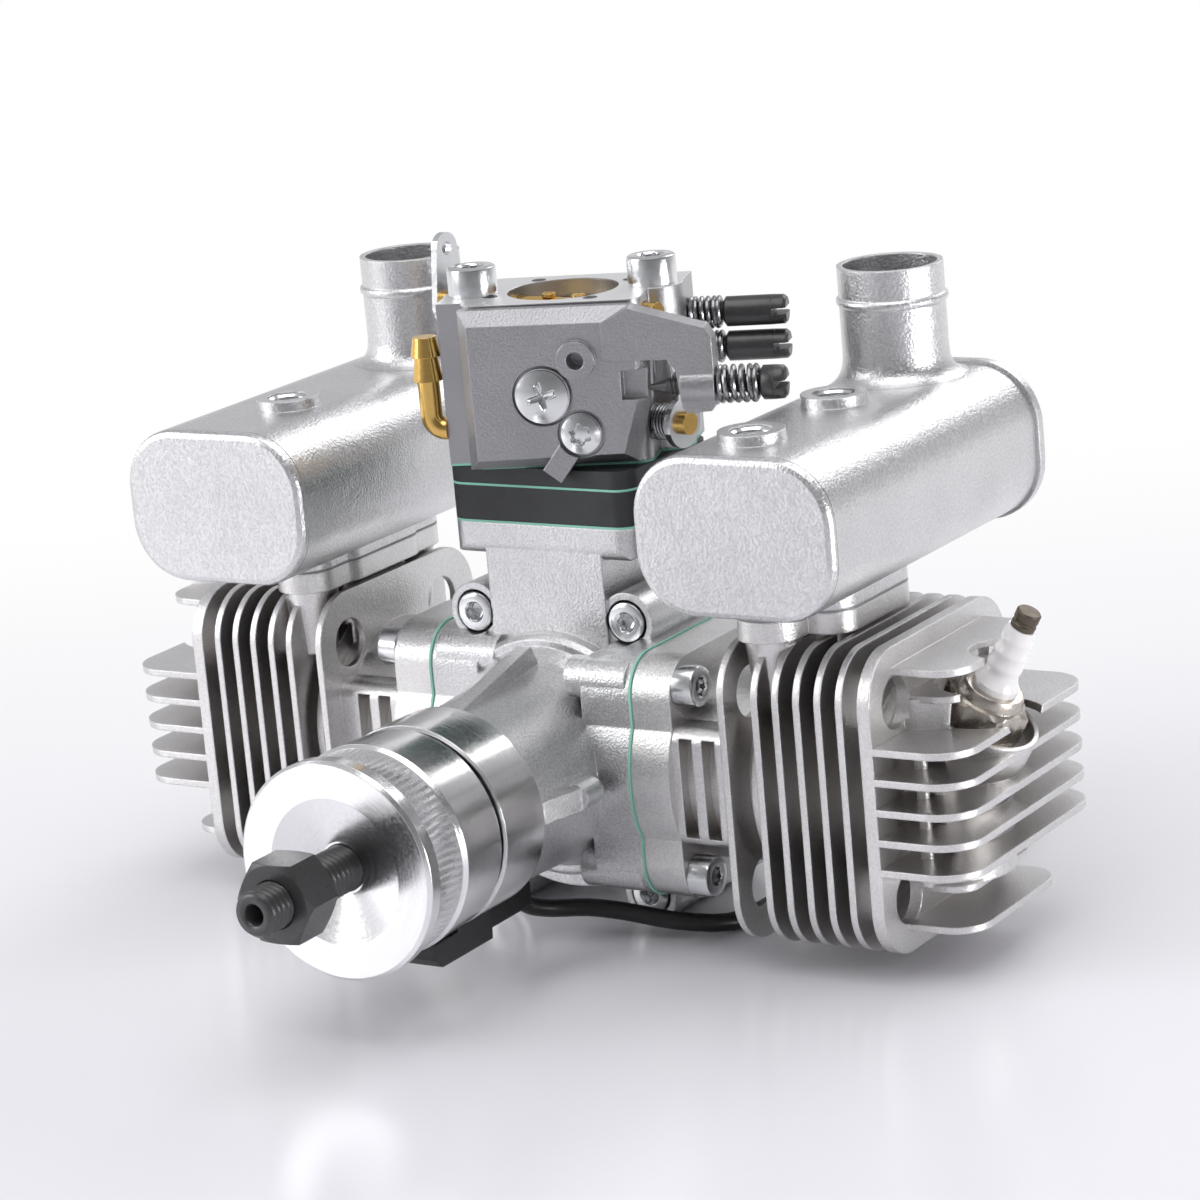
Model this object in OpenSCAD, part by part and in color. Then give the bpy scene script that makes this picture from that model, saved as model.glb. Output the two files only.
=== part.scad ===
// Boxer twin two-stroke aero engine with a top carburettor and two can mufflers.
// X runs along the cylinders, Y points back to the firewall, Z is up.
// The origin is the middle of the rear mounting face, on the crank axis.

/* [Crank train] */
// Cylinder bore diameter
bore = 28; // [26:0.5:30]
// Piston stroke
stroke = 24.4; // [22:0.2:26]
// Distance between the two pins of a rod
rod_length = 42; // [40:0.5:44]
// Thickness of the middle crank web
center_web_t = 2.8; // [2.4:0.1:3.4]
// Thickness of the outer crank webs
web_t = 4; // [3:0.1:4.5]
// Space between two webs, where a rod runs
rod_bay = 6; // [5.5:0.1:6.5]
// Thickness of a connecting rod
rod_t = 5; // [4:0.1:5.2]
// Radius of the crank webs
web_r = 17.2; // [16.6:0.1:17.6]
// Radius of the crankpins
crankpin_r = 3.6; // [3:0.1:4]
// Radius of the wrist pins
wrist_pin_r = 3.5; // [3:0.1:4]
// Radius of the main shaft
shaft_r = 6; // [5.5:0.1:6.5]

/* [Pistons] */
// Distance from the wrist pin to the crown
crown_height = 12; // [10:0.5:13]
// Overall length of a piston
piston_len = 23; // [21:0.5:24]
// Thickness of the piston wall
piston_wall = 2.4; // [2:0.1:3]
// Gap between piston and bore, on the radius
piston_gap = 0.05; // [0.03:0.01:0.08]
// Height of a piston ring
ring_t = 1.5; // [1.2:0.1:1.8]
// Radial depth of a piston ring
ring_depth = 1.4; // [1.2:0.1:1.6]

/* [Crankcase] */
// From the crank centre to the rear mounting face
rear_face = 30; // [28:0.5:34]
// Distance of the cylinder seats from the crank axis
seat_x = 22.9; // [22.6:0.1:24]
// Outer radius of the round case
case_r = 24.6; // [24:0.1:25.5]
// Plane of the front case screws, in front of the crank centre
case_front = 9.9; // [9.5:0.1:10.5]
// Radius of the step round the nose
drum_r = 21.6; // [21:0.1:22.5]
// Depth of the step round the nose
drum_t = 3.7; // [3:0.1:4.5]
// Length of the nose, from the step to its end ring
nose_len = 29.8; // [28:0.2:32]
// Radius of the nose at its root
nose_root_r = 18.6; // [18:0.1:19.5]
// Radius of the nose at its end
nose_end_r = 15.9; // [15.5:0.1:16.4]
// Sideways place of the case screws
case_screw_x = 15.4; // [15:0.1:16]
// Height of the upper case screws
case_screw_top = 24; // [23.5:0.1:24.5]
// Depth of the lower case screws under the axis
case_screw_low = 24.6; // [24:0.1:25.2]
// Radius of the screw bosses
screw_boss_r = 5.1; // [4.8:0.1:5.4]
// Half width of the intake neck
neck_half_x = 11.7; // [11:0.1:12.5]
// Front face of the intake neck
neck_front = 10.5; // [10:0.1:11]
// Underside of the intake flange
intake_flange_z = 34.4; // [33.5:0.1:35]
// Top of the intake flange
intake_top_z = 40.3; // [39.5:0.1:41]
// Half width of the intake flange and of the spacers
spacer_half_x = 18.5; // [18:0.1:19]
// Half depth of the intake flange and of the spacers
spacer_half_y = 14; // [13.5:0.1:14.5]
// Thickness of the side flanges
side_flange_t = 9.6; // [9.4:0.1:9.9]

/* [Rear mount] */
// Spacing of the firewall bolts across
mount_dx = 34; // [32:0.5:34]
// Spacing of the firewall bolts in height
mount_dz = 34; // [32:0.5:36]
// Radius of the firewall bolt holes
mount_hole_r = 2.5; // [2:0.1:3]
// Depth of the firewall bolt holes
mount_hole_len = 8; // [6:0.5:8.5]

/* [Prop drive] */
// Front plane of the sensor ring, in front of the crank centre
ring_front = 54.6; // [54:0.1:56]
// Radius of the sensor ring
ring_r = 17.5; // [17:0.1:18]
// Running gap between ring and hub
hub_gap = 0.6; // [0.4:0.1:1]
// Length of the round part of the hub
hub_len = 12.2; // [11:0.1:13]
// Radius of the hub
hub_r = 17.9; // [17.5:0.1:18.4]
// Length of the serrated cone
hub_cone_len = 7.6; // [7:0.1:8.5]
// Radius of the prop washer
washer_r = 18.5; // [18:0.1:19]
// Thickness of the prop washer
washer_t = 3.4; // [3:0.1:4]
// Radius of the prop stud
stud_r = 4; // [3.5:0.1:4.5]
// How far the stud stands in front of the washer
stud_out = 22; // [20:0.5:24]
// Width of the prop nut over its flats
nut_flats = 13; // [12:0.5:14]
// Thickness of the prop nut
nut_t = 7.6; // [6:0.1:8]

/* [Cylinders] */
// Half width of a cylinder flange
flange_half_y = 18.6; // [18.2:0.1:19]
// Half height of a cylinder flange
flange_half_z = 21.3; // [21:0.1:21.8]
// Thickness of a cylinder flange
cyl_flange_t = 7.5; // [7:0.1:8]
// Spacing of the base bolts in depth, from the cylinder axis
bolt_y = 14.6; // [14.3:0.1:14.8]
// Spacing of the base bolts in height, from the cylinder axis
bolt_z = 16.6; // [16.4:0.1:17]
// Outer radius of the barrel
barrel_r = 17.2; // [16.8:0.1:17.6]
// Half width of the fins
fin_half_y = 24.2; // [23.8:0.1:24.6]
// How far the fins sit behind the cylinder's axis
fin_shift = 0.8; // [0:0.1:1.2]
// Half height of the fins
fin_half_z = 25.9; // [25.5:0.1:26.2]
// Thickness of a fin
fin_t = 1.2; // [1:0.1:1.6]
// Corner radius of the fins
fin_corner = 9; // [8:0.2:10]
// Place of the first fin along the cylinder
fin_first = 42.9; // [42.6:0.1:43.3]
// Place of the second fin along the cylinder
fin_second = 49.3; // [49:0.1:49.6]
// Pitch of the other fins
fin_pitch = 3.92; // [3.86:0.01:3.98]
// Inner face of the head plate
head_x = 69; // [68.6:0.1:69.4]
// Thickness of the head plate
head_t = 2.2; // [2:0.1:2.6]
// How far the long head fins reach from the crank axis
head_reach = 87; // [86:0.1:88]
// Pitch of the head fins
head_pitch = 5.1; // [5:0.05:5.25]

/* [Exhaust] */
// Sideways place of the mufflers
muffler_x = 51.6; // [51:0.1:52]
// Height of the mufflers' middle
muffler_z = 46.2; // [46:0.1:47]
// Half width of a muffler
muffler_half_x = 18.4; // [18:0.1:18.8]
// Half height of a muffler
muffler_half_z = 13.4; // [13:0.1:13.6]
// Front of the mufflers, in front of the crank centre
muffler_front = 33.4; // [32:0.2:35]
// Length of a muffler
muffler_len = 74; // [72:0.5:76]
// Wall of a muffler
muffler_wall = 1.2; // [1:0.1:1.6]
// Corner radius of a muffler
muffler_corner = 10.5; // [9.5:0.1:11.5]
// Radius of a muffler's outlet pipe
stack_r = 9.1; // [8.8:0.1:9.4]
// Top of the outlet pipes
stack_top = 79; // [76:0.5:82]
// How far the outlet pipes stand behind the crank centre
stack_y = 29; // [28:0.2:30]
// Sideways place of the outlet pipes
stack_x = 49.5; // [49:0.1:51]

/* [Carburettor] */
// Turn of the carburettor on its spacer
carb_yaw = 20; // [15:1:25]
// Turn of the throttle and choke shafts
shaft_yaw = -6; // [-8:1:-4]
// Depth of the carburettor's middle behind the crank centre
carb_y = 3.2; // [3:0.1:3.4]
// Spacing of the two mounting screws
carb_pitch = 31; // [30.5:0.1:31.5]
// Height of the carburettor body
carb_h = 27.8; // [27:0.1:28.5]
// Radius of the intake mouth
choke_bore_r = 9.6; // [9:0.1:10]
// Radius of the throttle bore
throttle_bore_r = 7.5; // [7:0.1:8]
// Radius of the throttle and choke shafts
spindle_r = 2; // [1.8:0.1:2.2]
// Height of the throttle shaft over the body's foot
throttle_h = 5.8; // [5.4:0.1:6.4]
// Height of the choke shaft over the body's foot
choke_h = 24.3; // [24:0.1:24.4]

/* [Hidden] */
$fn = 48;

// Small clearances
fit = 0.1;
mount_boss_r = 5.5;
case_back = 22;
gap = 0.3;
eps = 0.01;
gasket_t = 0.4;

// Crank train
throw = stroke / 2;
stagger = center_web_t + rod_bay;
web_in = stagger / 2 + rod_bay / 2;
web_out = web_in + web_t;
big_end_r = crankpin_r + 2.7;
small_end_r = wrist_pin_r + 2.2;
pin_top = rod_length + throw;
crown_top = pin_top + crown_height;
piston_r = bore / 2 - piston_gap;
chamber_half = web_out + 0.5;
chamber_r = web_r + 0.8;
rod_swing = throw + big_end_r + 0.8;
bearing_r = 14;
bearing_t = 8;
bearing_gap = 0.6;

// Front end of the crank
nose_front = case_front + drum_t + nose_len;
hub_back = ring_front + hub_gap;
cone_back = hub_back + hub_len;
washer_back = cone_back + hub_cone_len;
washer_front = washer_back + washer_t;
stud_end = washer_front + stud_out;
hub_shaft_len = 30;
shaft_front = hub_back + 6;
block_half = 6;
block_front = 61.5;
block_step = 45;
block_end = 30.6;
block_low = 21.8;
nose_fin_y = 18.9;
nose_fin_top = 21.1;
nose_fin_t = 2.8;
nose_boss_x = 17.2;
nose_boss_y = 27.9;
nose_boss_r = 2.3;

// Cylinders
cyl_base = seat_x + gasket_t;
bolt_seat = cyl_base + cyl_flange_t;
flange_corner = 7;
flange_bulge = 20.9;
gasket_out = 0.2;
flange_boss_r = 3.75;
flange_boss_len = 3.4;
head_face = head_x + head_t;
chamber_top = crown_top + 3;
plug_tilt = 29;
plug_x = 72.9;
plug_bore_r = 5;
plug_seat = 9.7;
access_r = 4.4;
head_core_r = 12;
block_half_y = 19.2;
block_half_z = 10.4;
groove_w = 2.5;
groove_x = [32.2, 36.6];
post_y = 16.2;

// Exhaust
duct_x = 52.7;
duct_half_x = 7.5;
exhaust_foot_z = 26.6;
exhaust_top_z = 30.2;
muffler_foot_z = exhaust_top_z + gasket_t;
muffler_bolt_y = 15;
exhaust_half_y = 21;
exhaust_half_x = 9.3;
cap_t = 1.8;

// Carburettor stack
lower_spacer_z = intake_top_z + gasket_t;
lower_spacer_t = 6.1;
upper_spacer_z = lower_spacer_z + lower_spacer_t + gasket_t;
upper_spacer_t = 3.1;
carb_foot = upper_spacer_z + upper_spacer_t + gasket_t;
carb_top = carb_foot + carb_h;
carb_half_x = 15.6;
lug_x = carb_pitch / 2 + 4.8;
needle_spring = 6;
needle_len = 15;
elbow_x = 23.1;
elbow_bend = 2.6;
needle_y = 6.4;
carb_half_y = 12.5;
cover_t = 5;
cover_gasket = 0.6;
cover_front = carb_half_y + cover_gasket + cover_t;
idle_y = cover_t / 2 - cover_front;
idle_z = 64;
idle_r = 1.7;
arm_t = 4.4;
arm_x = lug_x + 8.3;
arm_hub_r = 3.4;
idle_spring = 7.2;
idle_x = arm_x + idle_spring + 0.2;
idle_len = 16;
cross_x = -1;
cross_z = 63.7;
cross_r = 4.7;
lobed_r = 3.5;
cover_boss_x = 5.3;
cover_boss_z = 69.6;
tab_x = 5.1;
tab_z = 57;
tab_turn = 38;
mount_screw_turn = 5;
throttle_z = carb_foot + throttle_h;
choke_z = carb_foot + choke_h;
duct_half = 8;
choke_tab = 9.6;
needle_z = [carb_foot + 15.3, carb_foot + 21.3];

// Screws
m4_r = 2;
m4_head_r = 3.5;
m4_head_h = 4;
screw_sink = 3.4;
m5_r = 2.5;
m5_head_r = 4.25;
m5_head_h = 5;

// Standing surface and the sensor lead
floor_z = -case_screw_low - screw_boss_r;
lead_r = 1.6;
lead_z = floor_z + lead_r;
coil_r = 17.6;
coil_x = 30;
coil_y = 62;
plug_w = 7.8;
plug_len = 14;
plug_h = 3;

module at_crank() {
    translate([0, -rear_face, 0]) children();
}

module rounded(half_x, half_y, r) {
    square([2 * half_x - 2 * r, 2 * half_y], center = true);
    square([2 * half_x, 2 * half_y - 2 * r], center = true);
    for (sx = [-1, 1], sy = [-1, 1])
        translate([sx * (half_x - r), sy * (half_y - r)]) circle(r);
}

// Plate across X from x0, with its outline in Y and Z
module plate_x(x0, t) {
    translate([x0, 0, 0]) rotate([90, 0, 90]) linear_extrude(t) children();
}

// Plate across Y from y0 towards the rear, with its outline in X and Z
module plate_y(y0, t) {
    translate([0, y0 + t, 0]) rotate([90, 0, 0]) linear_extrude(t) children();
}

module rod_x(x0, x1, r) {
    translate([x0, 0, 0]) rotate([0, 90, 0]) cylinder(r = r, h = x1 - x0);
}

module rod_y(y0, y1, r) {
    translate([0, y0, 0]) rotate([-90, 0, 0]) cylinder(r = r, h = y1 - y0);
}

// Cap screw along +Z with its head's foot at the origin and the shank below
module cap_screw(r, head_r, head_h, shank) {
    difference() {
        union() {
            cylinder(r = head_r, h = head_h);
            translate([0, 0, -shank]) cylinder(r = r, h = shank + eps);
        }
        translate([0, 0, head_h * 0.4]) cylinder(r = head_r * 0.5, h = head_h, $fn = 6);
    }
}

// Turns a Z shape so that it points along the front direction
module face_front() {
    rotate([90, 0, 0]) children();
}

module both_sides() {
    translate([0, -stagger / 2, 0]) children();
    translate([0, stagger / 2, 0]) mirror([1, 0, 0]) children();
}

module right_side() {
    translate([0, -stagger / 2, 0]) children();
}

module left_side() {
    translate([0, stagger / 2, 0]) mirror([1, 0, 0]) children();
}

module at_case_screws() {
    for (sx = [-1, 1]) {
        translate([sx * case_screw_x, 0, case_screw_top]) children();
        translate([sx * case_screw_x, 0, -case_screw_low]) children();
    }
}

module at_base_bolts() {
    for (sy = [-1, 1], sz = [-1, 1])
        translate([0, sy * bolt_y, sz * bolt_z]) children();
}

// Crankcase

module flange_outline(grow) {
    rounded(flange_half_y + grow, flange_half_z + grow, flange_corner);
    circle(r = flange_bulge + grow);
}

module case_flange() {
    plate_x(seat_x - side_flange_t, side_flange_t) flange_outline(0);
    at_base_bolts() rod_x(seat_x - side_flange_t - flange_boss_len, seat_x - 1, flange_boss_r);
}

module case_outside() {
    intersection() {
        rod_y(-case_front, case_back, case_r);
        translate([-seat_x, -case_front, -case_r]) cube([2 * seat_x, case_front + case_back, 2 * case_r]);
    }
    at_case_screws() rod_y(-case_front, case_back - 2, screw_boss_r);
    both_sides() case_flange();
    plate_y(-neck_front, neck_front + 2 * carb_y + neck_front)
        translate([0, 15 + intake_flange_z / 2 - 5])
            square([2 * neck_half_x, intake_flange_z - 10 + 0.5], center = true);
    intersection() {
        translate([0, carb_y, intake_flange_z]) linear_extrude(intake_top_z - intake_flange_z)
            rounded(spacer_half_x, spacer_half_y, 3.5);
        plate_y(carb_y - spacer_half_y, 2 * spacer_half_y) translate([0, intake_flange_z + 10])
            rounded(spacer_half_x, 10, 2.6);
        plate_x(-spacer_half_x, 2 * spacer_half_x) translate([carb_y, intake_flange_z + 10])
            rounded(spacer_half_y, 10, 2.6);
    }
    rod_y(case_back - 1, case_back + 3, seat_x - 3);
    for (sx = [-1, 1], sz = [-1, 1])
        translate([sx * mount_dx / 2, 0, sz * mount_dz / 2]) rod_y(case_back - 8, rear_face, mount_boss_r);
}

module case_inside() {
    rod_y(-chamber_half, chamber_half, chamber_r);
    translate([-seat_x - 1, -web_in, -rod_swing]) cube([2 * seat_x + 2, 2 * web_in, 2 * rod_swing]);
    both_sides() rod_x(crown_top - stroke - piston_len - 3, seat_x + 1, bore / 2 + 0.4);
    rod_y(-nose_front - 1, -chamber_half + 1, shaft_r + 1.5);
    rod_y(-chamber_half - bearing_t, -chamber_half + 1, bearing_r);
    rod_y(-nose_front - 1, -nose_front + bearing_t + 4, bearing_r);
    rod_y(chamber_half - 1, chamber_half + bearing_t, bearing_r);
    translate([-duct_half, carb_y - duct_half, 10]) cube([2 * duct_half, 2 * duct_half, intake_top_z]);
    at_case_screws() rod_y(-case_front - 1, case_back - 4, m4_r + fit);
    at_case_screws() rod_y(-case_front - 20, -case_front + screw_sink, m4_head_r + 0.4);
    both_sides() at_base_bolts() rod_x(seat_x - side_flange_t - 1, seat_x + 1, m4_r + fit);
    for (sx = [-1, 1], sz = [-1, 1])
        translate([sx * mount_dx / 2, 0, sz * mount_dz / 2])
            rod_y(rear_face - mount_hole_len, rear_face + 1, mount_hole_r);
    at_carb_screws() translate([0, 0, intake_top_z - 5]) cylinder(r = m5_r + fit, h = 10);
}

module nose() {
    rotate([90, 0, 0]) rotate_extrude() polygon([
        [0, case_front - 1], [drum_r, case_front - 1], [drum_r, case_front + drum_t - 0.8],
        [drum_r - 0.8, case_front + drum_t], [nose_root_r + 1, case_front + drum_t],
        [nose_root_r - 0.6, case_front + drum_t + 3], [nose_root_r - 1.6, case_front + drum_t + 9],
        [nose_end_r, nose_front], [0, nose_front]]);
    nose_fin();
    for (a = [0, 180]) rotate([0, a, 0]) nose_side_rib();
}

// Low rib along the side of the nose, ending in a round boss
module nose_side_rib() {
    translate([0, 0, -nose_boss_r]) linear_extrude(2 * nose_boss_r - 0.6)
        polygon([[8, -nose_front + 2], [nose_end_r + 0.3, -nose_front + 2],
            [nose_boss_x + nose_boss_r - 0.7, -nose_boss_y - 3], [8, -nose_boss_y - 3]]);
    translate([nose_boss_x, 0, 0]) rod_y(-nose_boss_y - 5, -nose_boss_y, nose_boss_r);
}

// Thin rib on top of the nose, highest at its rear end
module nose_fin() {
    rotate([0, 0, -90]) rotate([90, 0, 0]) translate([0, 0, -nose_fin_t / 2]) linear_extrude(nose_fin_t)
        polygon([[case_front + 2, 10], [nose_fin_y - 2.2, nose_root_r - 1.6], [nose_fin_y, nose_fin_top],
            [nose_front - 2, nose_end_r + 0.2], [nose_front - 2, 10]]);
}

module front_space() {
    translate([-60, -80, -60]) cube([120, 80, 120]);
}

module crankcase_front() {
    color("silver") at_crank() difference() {
        union() {
            intersection() {
                case_outside();
                front_space();
            }
            nose();
        }
        case_inside();
    }
}

module crankcase_rear() {
    color("silver") at_crank() difference() {
        case_outside();
        case_inside();
        front_space();
    }
}

module case_screws() {
    color("lightgray") at_crank() at_case_screws() translate([0, -case_front + screw_sink, 0]) face_front()
        cap_screw(m4_r, m4_head_r, m4_head_h, case_back + case_front - screw_sink - 6);
}

// One ball bearing from y0 towards the rear
module ball_bearing(y0) {
    difference() {
        rod_y(y0, y0 + bearing_t, bearing_r - 0.02);
        rod_y(y0 - 1, y0 + bearing_t + 1, bearing_r - 2.4);
    }
    for (a = [0 : 40 : 359]) rotate([0, a, 0])
        translate([(bearing_r + shaft_r) / 2, y0 + bearing_t / 2, 0]) sphere(r = 1.5, $fn = 24);
    difference() {
        rod_y(y0, y0 + bearing_t, shaft_r + 2.3);
        rod_y(y0 - 1, y0 + bearing_t + 1, shaft_r + 0.03);
    }
}

module main_bearings() {
    color("gainsboro") at_crank() {
        ball_bearing(-chamber_half - bearing_t);
        ball_bearing(-nose_front + 4);
        ball_bearing(chamber_half);
    }
}

module shaft_seal() {
    color("dimgray") at_crank() difference() {
        rod_y(-nose_front + 0.4, -nose_front + 3.6, bearing_r - 0.02);
        rod_y(-nose_front, -nose_front + 4, shaft_r + 0.05);
    }
}

module sensor_ring() {
    color("whitesmoke") at_crank() difference() {
        rod_y(-ring_front, -nose_front, ring_r);
        rod_y(-ring_front - 1, -nose_front + 1, bearing_r - 2);
    }
}

// Sensor and its lead

module sensor_block() {
    color("dimgray") at_crank() difference() {
        union() {
            translate([-block_half, 0, 0]) rotate([90, 0, 90]) linear_extrude(2 * block_half)
                polygon([[-block_front, -12], [-block_front, -block_low + 1.6], [-block_front + 1.6, -block_low],
                    [-block_step, -block_low], [-block_step + 1, -12]]);
            translate([-block_half + 1.4, -block_step, -block_low + 1])
                cube([2 * block_half - 2.8, block_step - block_end, block_low - 13]);
        }
        rod_y(-block_front - 1, -ring_front, hub_r + 0.5);
        rod_y(-ring_front - eps, -nose_front, ring_r + 0.02);
        rod_y(-nose_front - eps, 0, nose_root_r - 1.4);
    }
}

// Route of the sensor lead, from the block back to the coil
lead_points = [[0, -block_end, -19.2], [0, -29.9, -19.3], [0.4, -28.6, -20.4], [1.4, -26.4, -22.7], [3.4, -22.6, -24.2], [8, -18.6, -24.9],
    [15, -17.8, -25.2], [24, -15.8, -26.6], [31, -10, -28], [33, 0, -28.1], [32, 12, -28.1], [29, 26, -28.1], [21, 37, -28.1], [14, 45, -28.1],
    [11.9, 52, -28.1], [12, 57, -28.1], [12.4, 62, -28.1]];

function spline(p, i, t) =
    let (a = p[max(i - 1, 0)], b = p[i], c = p[i + 1], d = p[min(i + 2, len(p) - 1)])
    0.5 * (2 * b + (c - a) * t + (2 * a - 5 * b + 4 * c - d) * t * t + (3 * b - a - 3 * c + d) * t * t * t);

lead_path = [for (i = [0 : len(lead_points) - 2]) for (t = [0 : 0.34 : 0.99]) spline(lead_points, i, t),
    lead_points[len(lead_points) - 1]];

function unit(v) = v / norm(v);

function ring_at(path, i, r) =
    let (t = unit(path[min(i + 1, len(path) - 1)] - path[max(i - 1, 0)]),
        s = unit(cross(t, [0, 0, 1])), u = cross(s, t))
    [for (k = [0 : 7]) path[i] + r * (cos(45 * k) * s + sin(45 * k) * u)];

module tube(path, r) {
    rings = [for (i = [0 : len(path) - 1]) ring_at(path, i, r)];
    points = [for (ring = rings) for (p = ring) p];
    n = len(path);
    sides = [for (i = [0 : n - 2]) for (k = [0 : 7])
        [8 * i + k, 8 * i + (k + 1) % 8, 8 * i + 8 + (k + 1) % 8, 8 * i + 8 + k]];
    polyhedron(points, concat([[for (k = [0 : 7]) 7 - k]], sides, [[for (k = [0 : 7]) 8 * n - 8 + k]]));
}

module sensor_cable() {
    color("black") at_crank() tube(lead_path, lead_r);
}

module cable_coil() {
    color("black") at_crank() difference() {
        translate([coil_x, coil_y, floor_z]) rotate_extrude()
            translate([coil_r - lead_r, 0]) square([2 * lead_r, 4 * lead_r]);
        plug_box(fit);
        translate([coil_x - coil_r - lead_r - 1, coil_y - 10, floor_z - 1])
            cube([2 * lead_r + 2.6, 10, 2 * lead_r + 1]);
    }
}

module plug_box(extra) {
    translate([coil_x + coil_r - plug_w / 2 - extra, coil_y - plug_len / 2 - extra, floor_z + 2 * lead_r])
        cube([plug_w + 2 * extra, plug_len + 2 * extra, plug_h + 4 * extra]);
}

module cable_plug() {
    color("black") at_crank() plug_box(0);
}

// Cylinders, modelled for the right side

module fin_outline() {
    translate([fin_shift, 0]) rounded(fin_half_y, fin_half_z, fin_corner);
}

fin_places = concat([fin_first], [for (i = [0 : 4]) fin_second + i * fin_pitch]);

module head_fin(z, half_y, reach, corner) {
    translate([0, 0, z - fin_t / 2]) linear_extrude(fin_t) difference() {
        translate([reach - 20, fin_shift]) rounded(20, half_y, corner);
        translate([0, -40]) square([head_x + 1, 80]);
    }
}

module along_plug() {
    translate([plug_x, 0, 0]) rotate([0, plug_tilt, 0]) children();
}

// Block between the flange and the first fin, with two grooves down each side
module barrel_block() {
    difference() {
        plate_x(cyl_base, fin_first - cyl_base) rounded(block_half_y, block_half_z, 3);
        for (x = groove_x) difference() {
            plate_x(x, groove_w) rounded(block_half_y + 10, block_half_z - 1.8, groove_w / 2);
            rod_x(x - 1, x + groove_w + 1, barrel_r);
        }
    }
}

module cylinder_casting() {
    difference() {
        union() {
            plate_x(cyl_base, cyl_flange_t) flange_outline(0);
            rod_x(cyl_base, head_x + 1, barrel_r);
            barrel_block();
            plate_x(46.4, 1.4) circle(r = 20.5);
            for (x = fin_places) plate_x(x, fin_t) fin_outline();
            plate_x(head_x, head_t) fin_outline();
            rod_x(head_x, head_face + 7, 13.5);
            intersection() {
                translate([head_face - 1, 0, -15.8]) cylinder(r = head_core_r, h = 32.2);
                translate([head_x, -20, -20]) cube(40);
            }
            for (sy = [-1, 1]) translate([head_face + 4.4, fin_shift + sy * post_y, 0.5 - 2 * head_pitch])
                cylinder(r = 1.1, h = 4 * head_pitch);
            for (i = [-2 : 2]) head_fin(0.5 + i * head_pitch, fin_half_y, head_reach, 7);
            head_fin(16.4, 12.2, head_reach - 6.5, 4);
            head_fin(-15.8, 12.2, head_reach - 6.5, 4);
            head_fin(22, 16.2, head_reach - 3.5, 6);
            head_fin(-21.4, 16.2, head_reach - 3.5, 6);
            along_plug() cylinder(r = 10, h = plug_seat + 3);
            translate([duct_x, 0, 10]) linear_extrude(exhaust_top_z - 10) rounded(duct_half_x, 9.5, 3);
            translate([duct_x, 0, exhaust_foot_z]) linear_extrude(exhaust_top_z - exhaust_foot_z)
                exhaust_outline();
            for (sy = [-1, 1]) translate([duct_x - 3, sy * muffler_bolt_y, 15])
                cylinder(r1 = 3.6, r2 = 5.2, h = exhaust_top_z - 15);
        }
        rod_x(cyl_base - 1, chamber_top, bore / 2);
        at_base_bolts() rod_x(cyl_base - 1, bolt_seat + 1, m4_r + fit);
        at_base_bolts() rod_x(bolt_seat, fin_first + fin_t + 1, m4_head_r + 0.9);
        at_base_bolts() rod_x(head_x - 1, head_face + 1, access_r);
        translate([duct_x - 5, -7, 0]) cube([10, 14, exhaust_top_z + 1]);
        for (sy = [-1, 1]) translate([duct_x - 3, sy * muffler_bolt_y, exhaust_top_z - 10])
            cylinder(r = m4_r + fit, h = 11);
        along_plug() translate([0, 0, -8]) cylinder(r = plug_bore_r + fit, h = 30);
        along_plug() translate([0, 0, plug_seat]) cylinder(r = 9.2, h = 10);
        along_plug() translate([0, 0, plug_seat]) cylinder(r = 6.4, h = 30);
    }
}

module exhaust_outline() {
    rounded(exhaust_half_x, 13, 5);
    translate([-3, 0]) rounded(5.5, exhaust_half_y, 5.4);
}

module cylinder_right() {
    color("silver") at_crank() right_side() cylinder_casting();
}

module cylinder_left() {
    color("silver") at_crank() left_side() cylinder_casting();
}

module base_gaskets() {
    color("mediumseagreen") at_crank() both_sides() difference() {
        plate_x(seat_x, gasket_t) flange_outline(gasket_out);
        rod_x(seat_x - 1, cyl_base + 1, bore / 2 + 0.4);
        at_base_bolts() rod_x(seat_x - 1, cyl_base + 1, m4_r + fit);
    }
}

module base_bolts() {
    color("lightgray") at_crank() both_sides() at_base_bolts() translate([bolt_seat, 0, 0])
        rotate([0, 90, 0]) cap_screw(m4_r, m4_head_r, m4_head_h, cyl_flange_t + gasket_t + side_flange_t - 0.5);
}

// Spark plugs

module plug_shells() {
    color("gray") at_crank() both_sides() along_plug() difference() {
        union() {
            translate([0, 0, -3]) cylinder(r = plug_bore_r, h = plug_seat + 3);
            translate([0, 0, plug_seat]) cylinder(r = 7, h = 1.4);
            translate([0, 0, plug_seat + 1.4]) cylinder(r = 7.4, h = 5, $fn = 6);
            translate([0, 0, plug_seat + 6.4]) cylinder(r = 5.6, h = 2.2);
        }
        translate([0, 0, -5]) cylinder(r = 3.1, h = 40);
    }
}

module plug_insulators() {
    color("white") at_crank() both_sides() along_plug() difference() {
        union() {
            translate([0, 0, -3]) cylinder(r = 3, h = plug_seat + 12);
            translate([0, 0, plug_seat + 8.6]) cylinder(r = 3.9, h = 2.4);
            translate([0, 0, plug_seat + 11]) cylinder(r = 3.1, h = 9.4);
        }
        translate([0, 0, -5]) cylinder(r = 1.05, h = 60);
    }
}

module plug_terminals() {
    color("darkgray") at_crank() both_sides() along_plug() {
        translate([0, 0, -4.4]) cylinder(r = 1, h = plug_seat + 25);
        translate([0, 0, plug_seat + 20.4]) cylinder(r = 2.5, h = 3.2);
    }
}

// Exhaust

module muffler_space(inset) {
    rounded(muffler_half_x - inset, muffler_half_z - inset, muffler_corner - inset);
}

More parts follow.
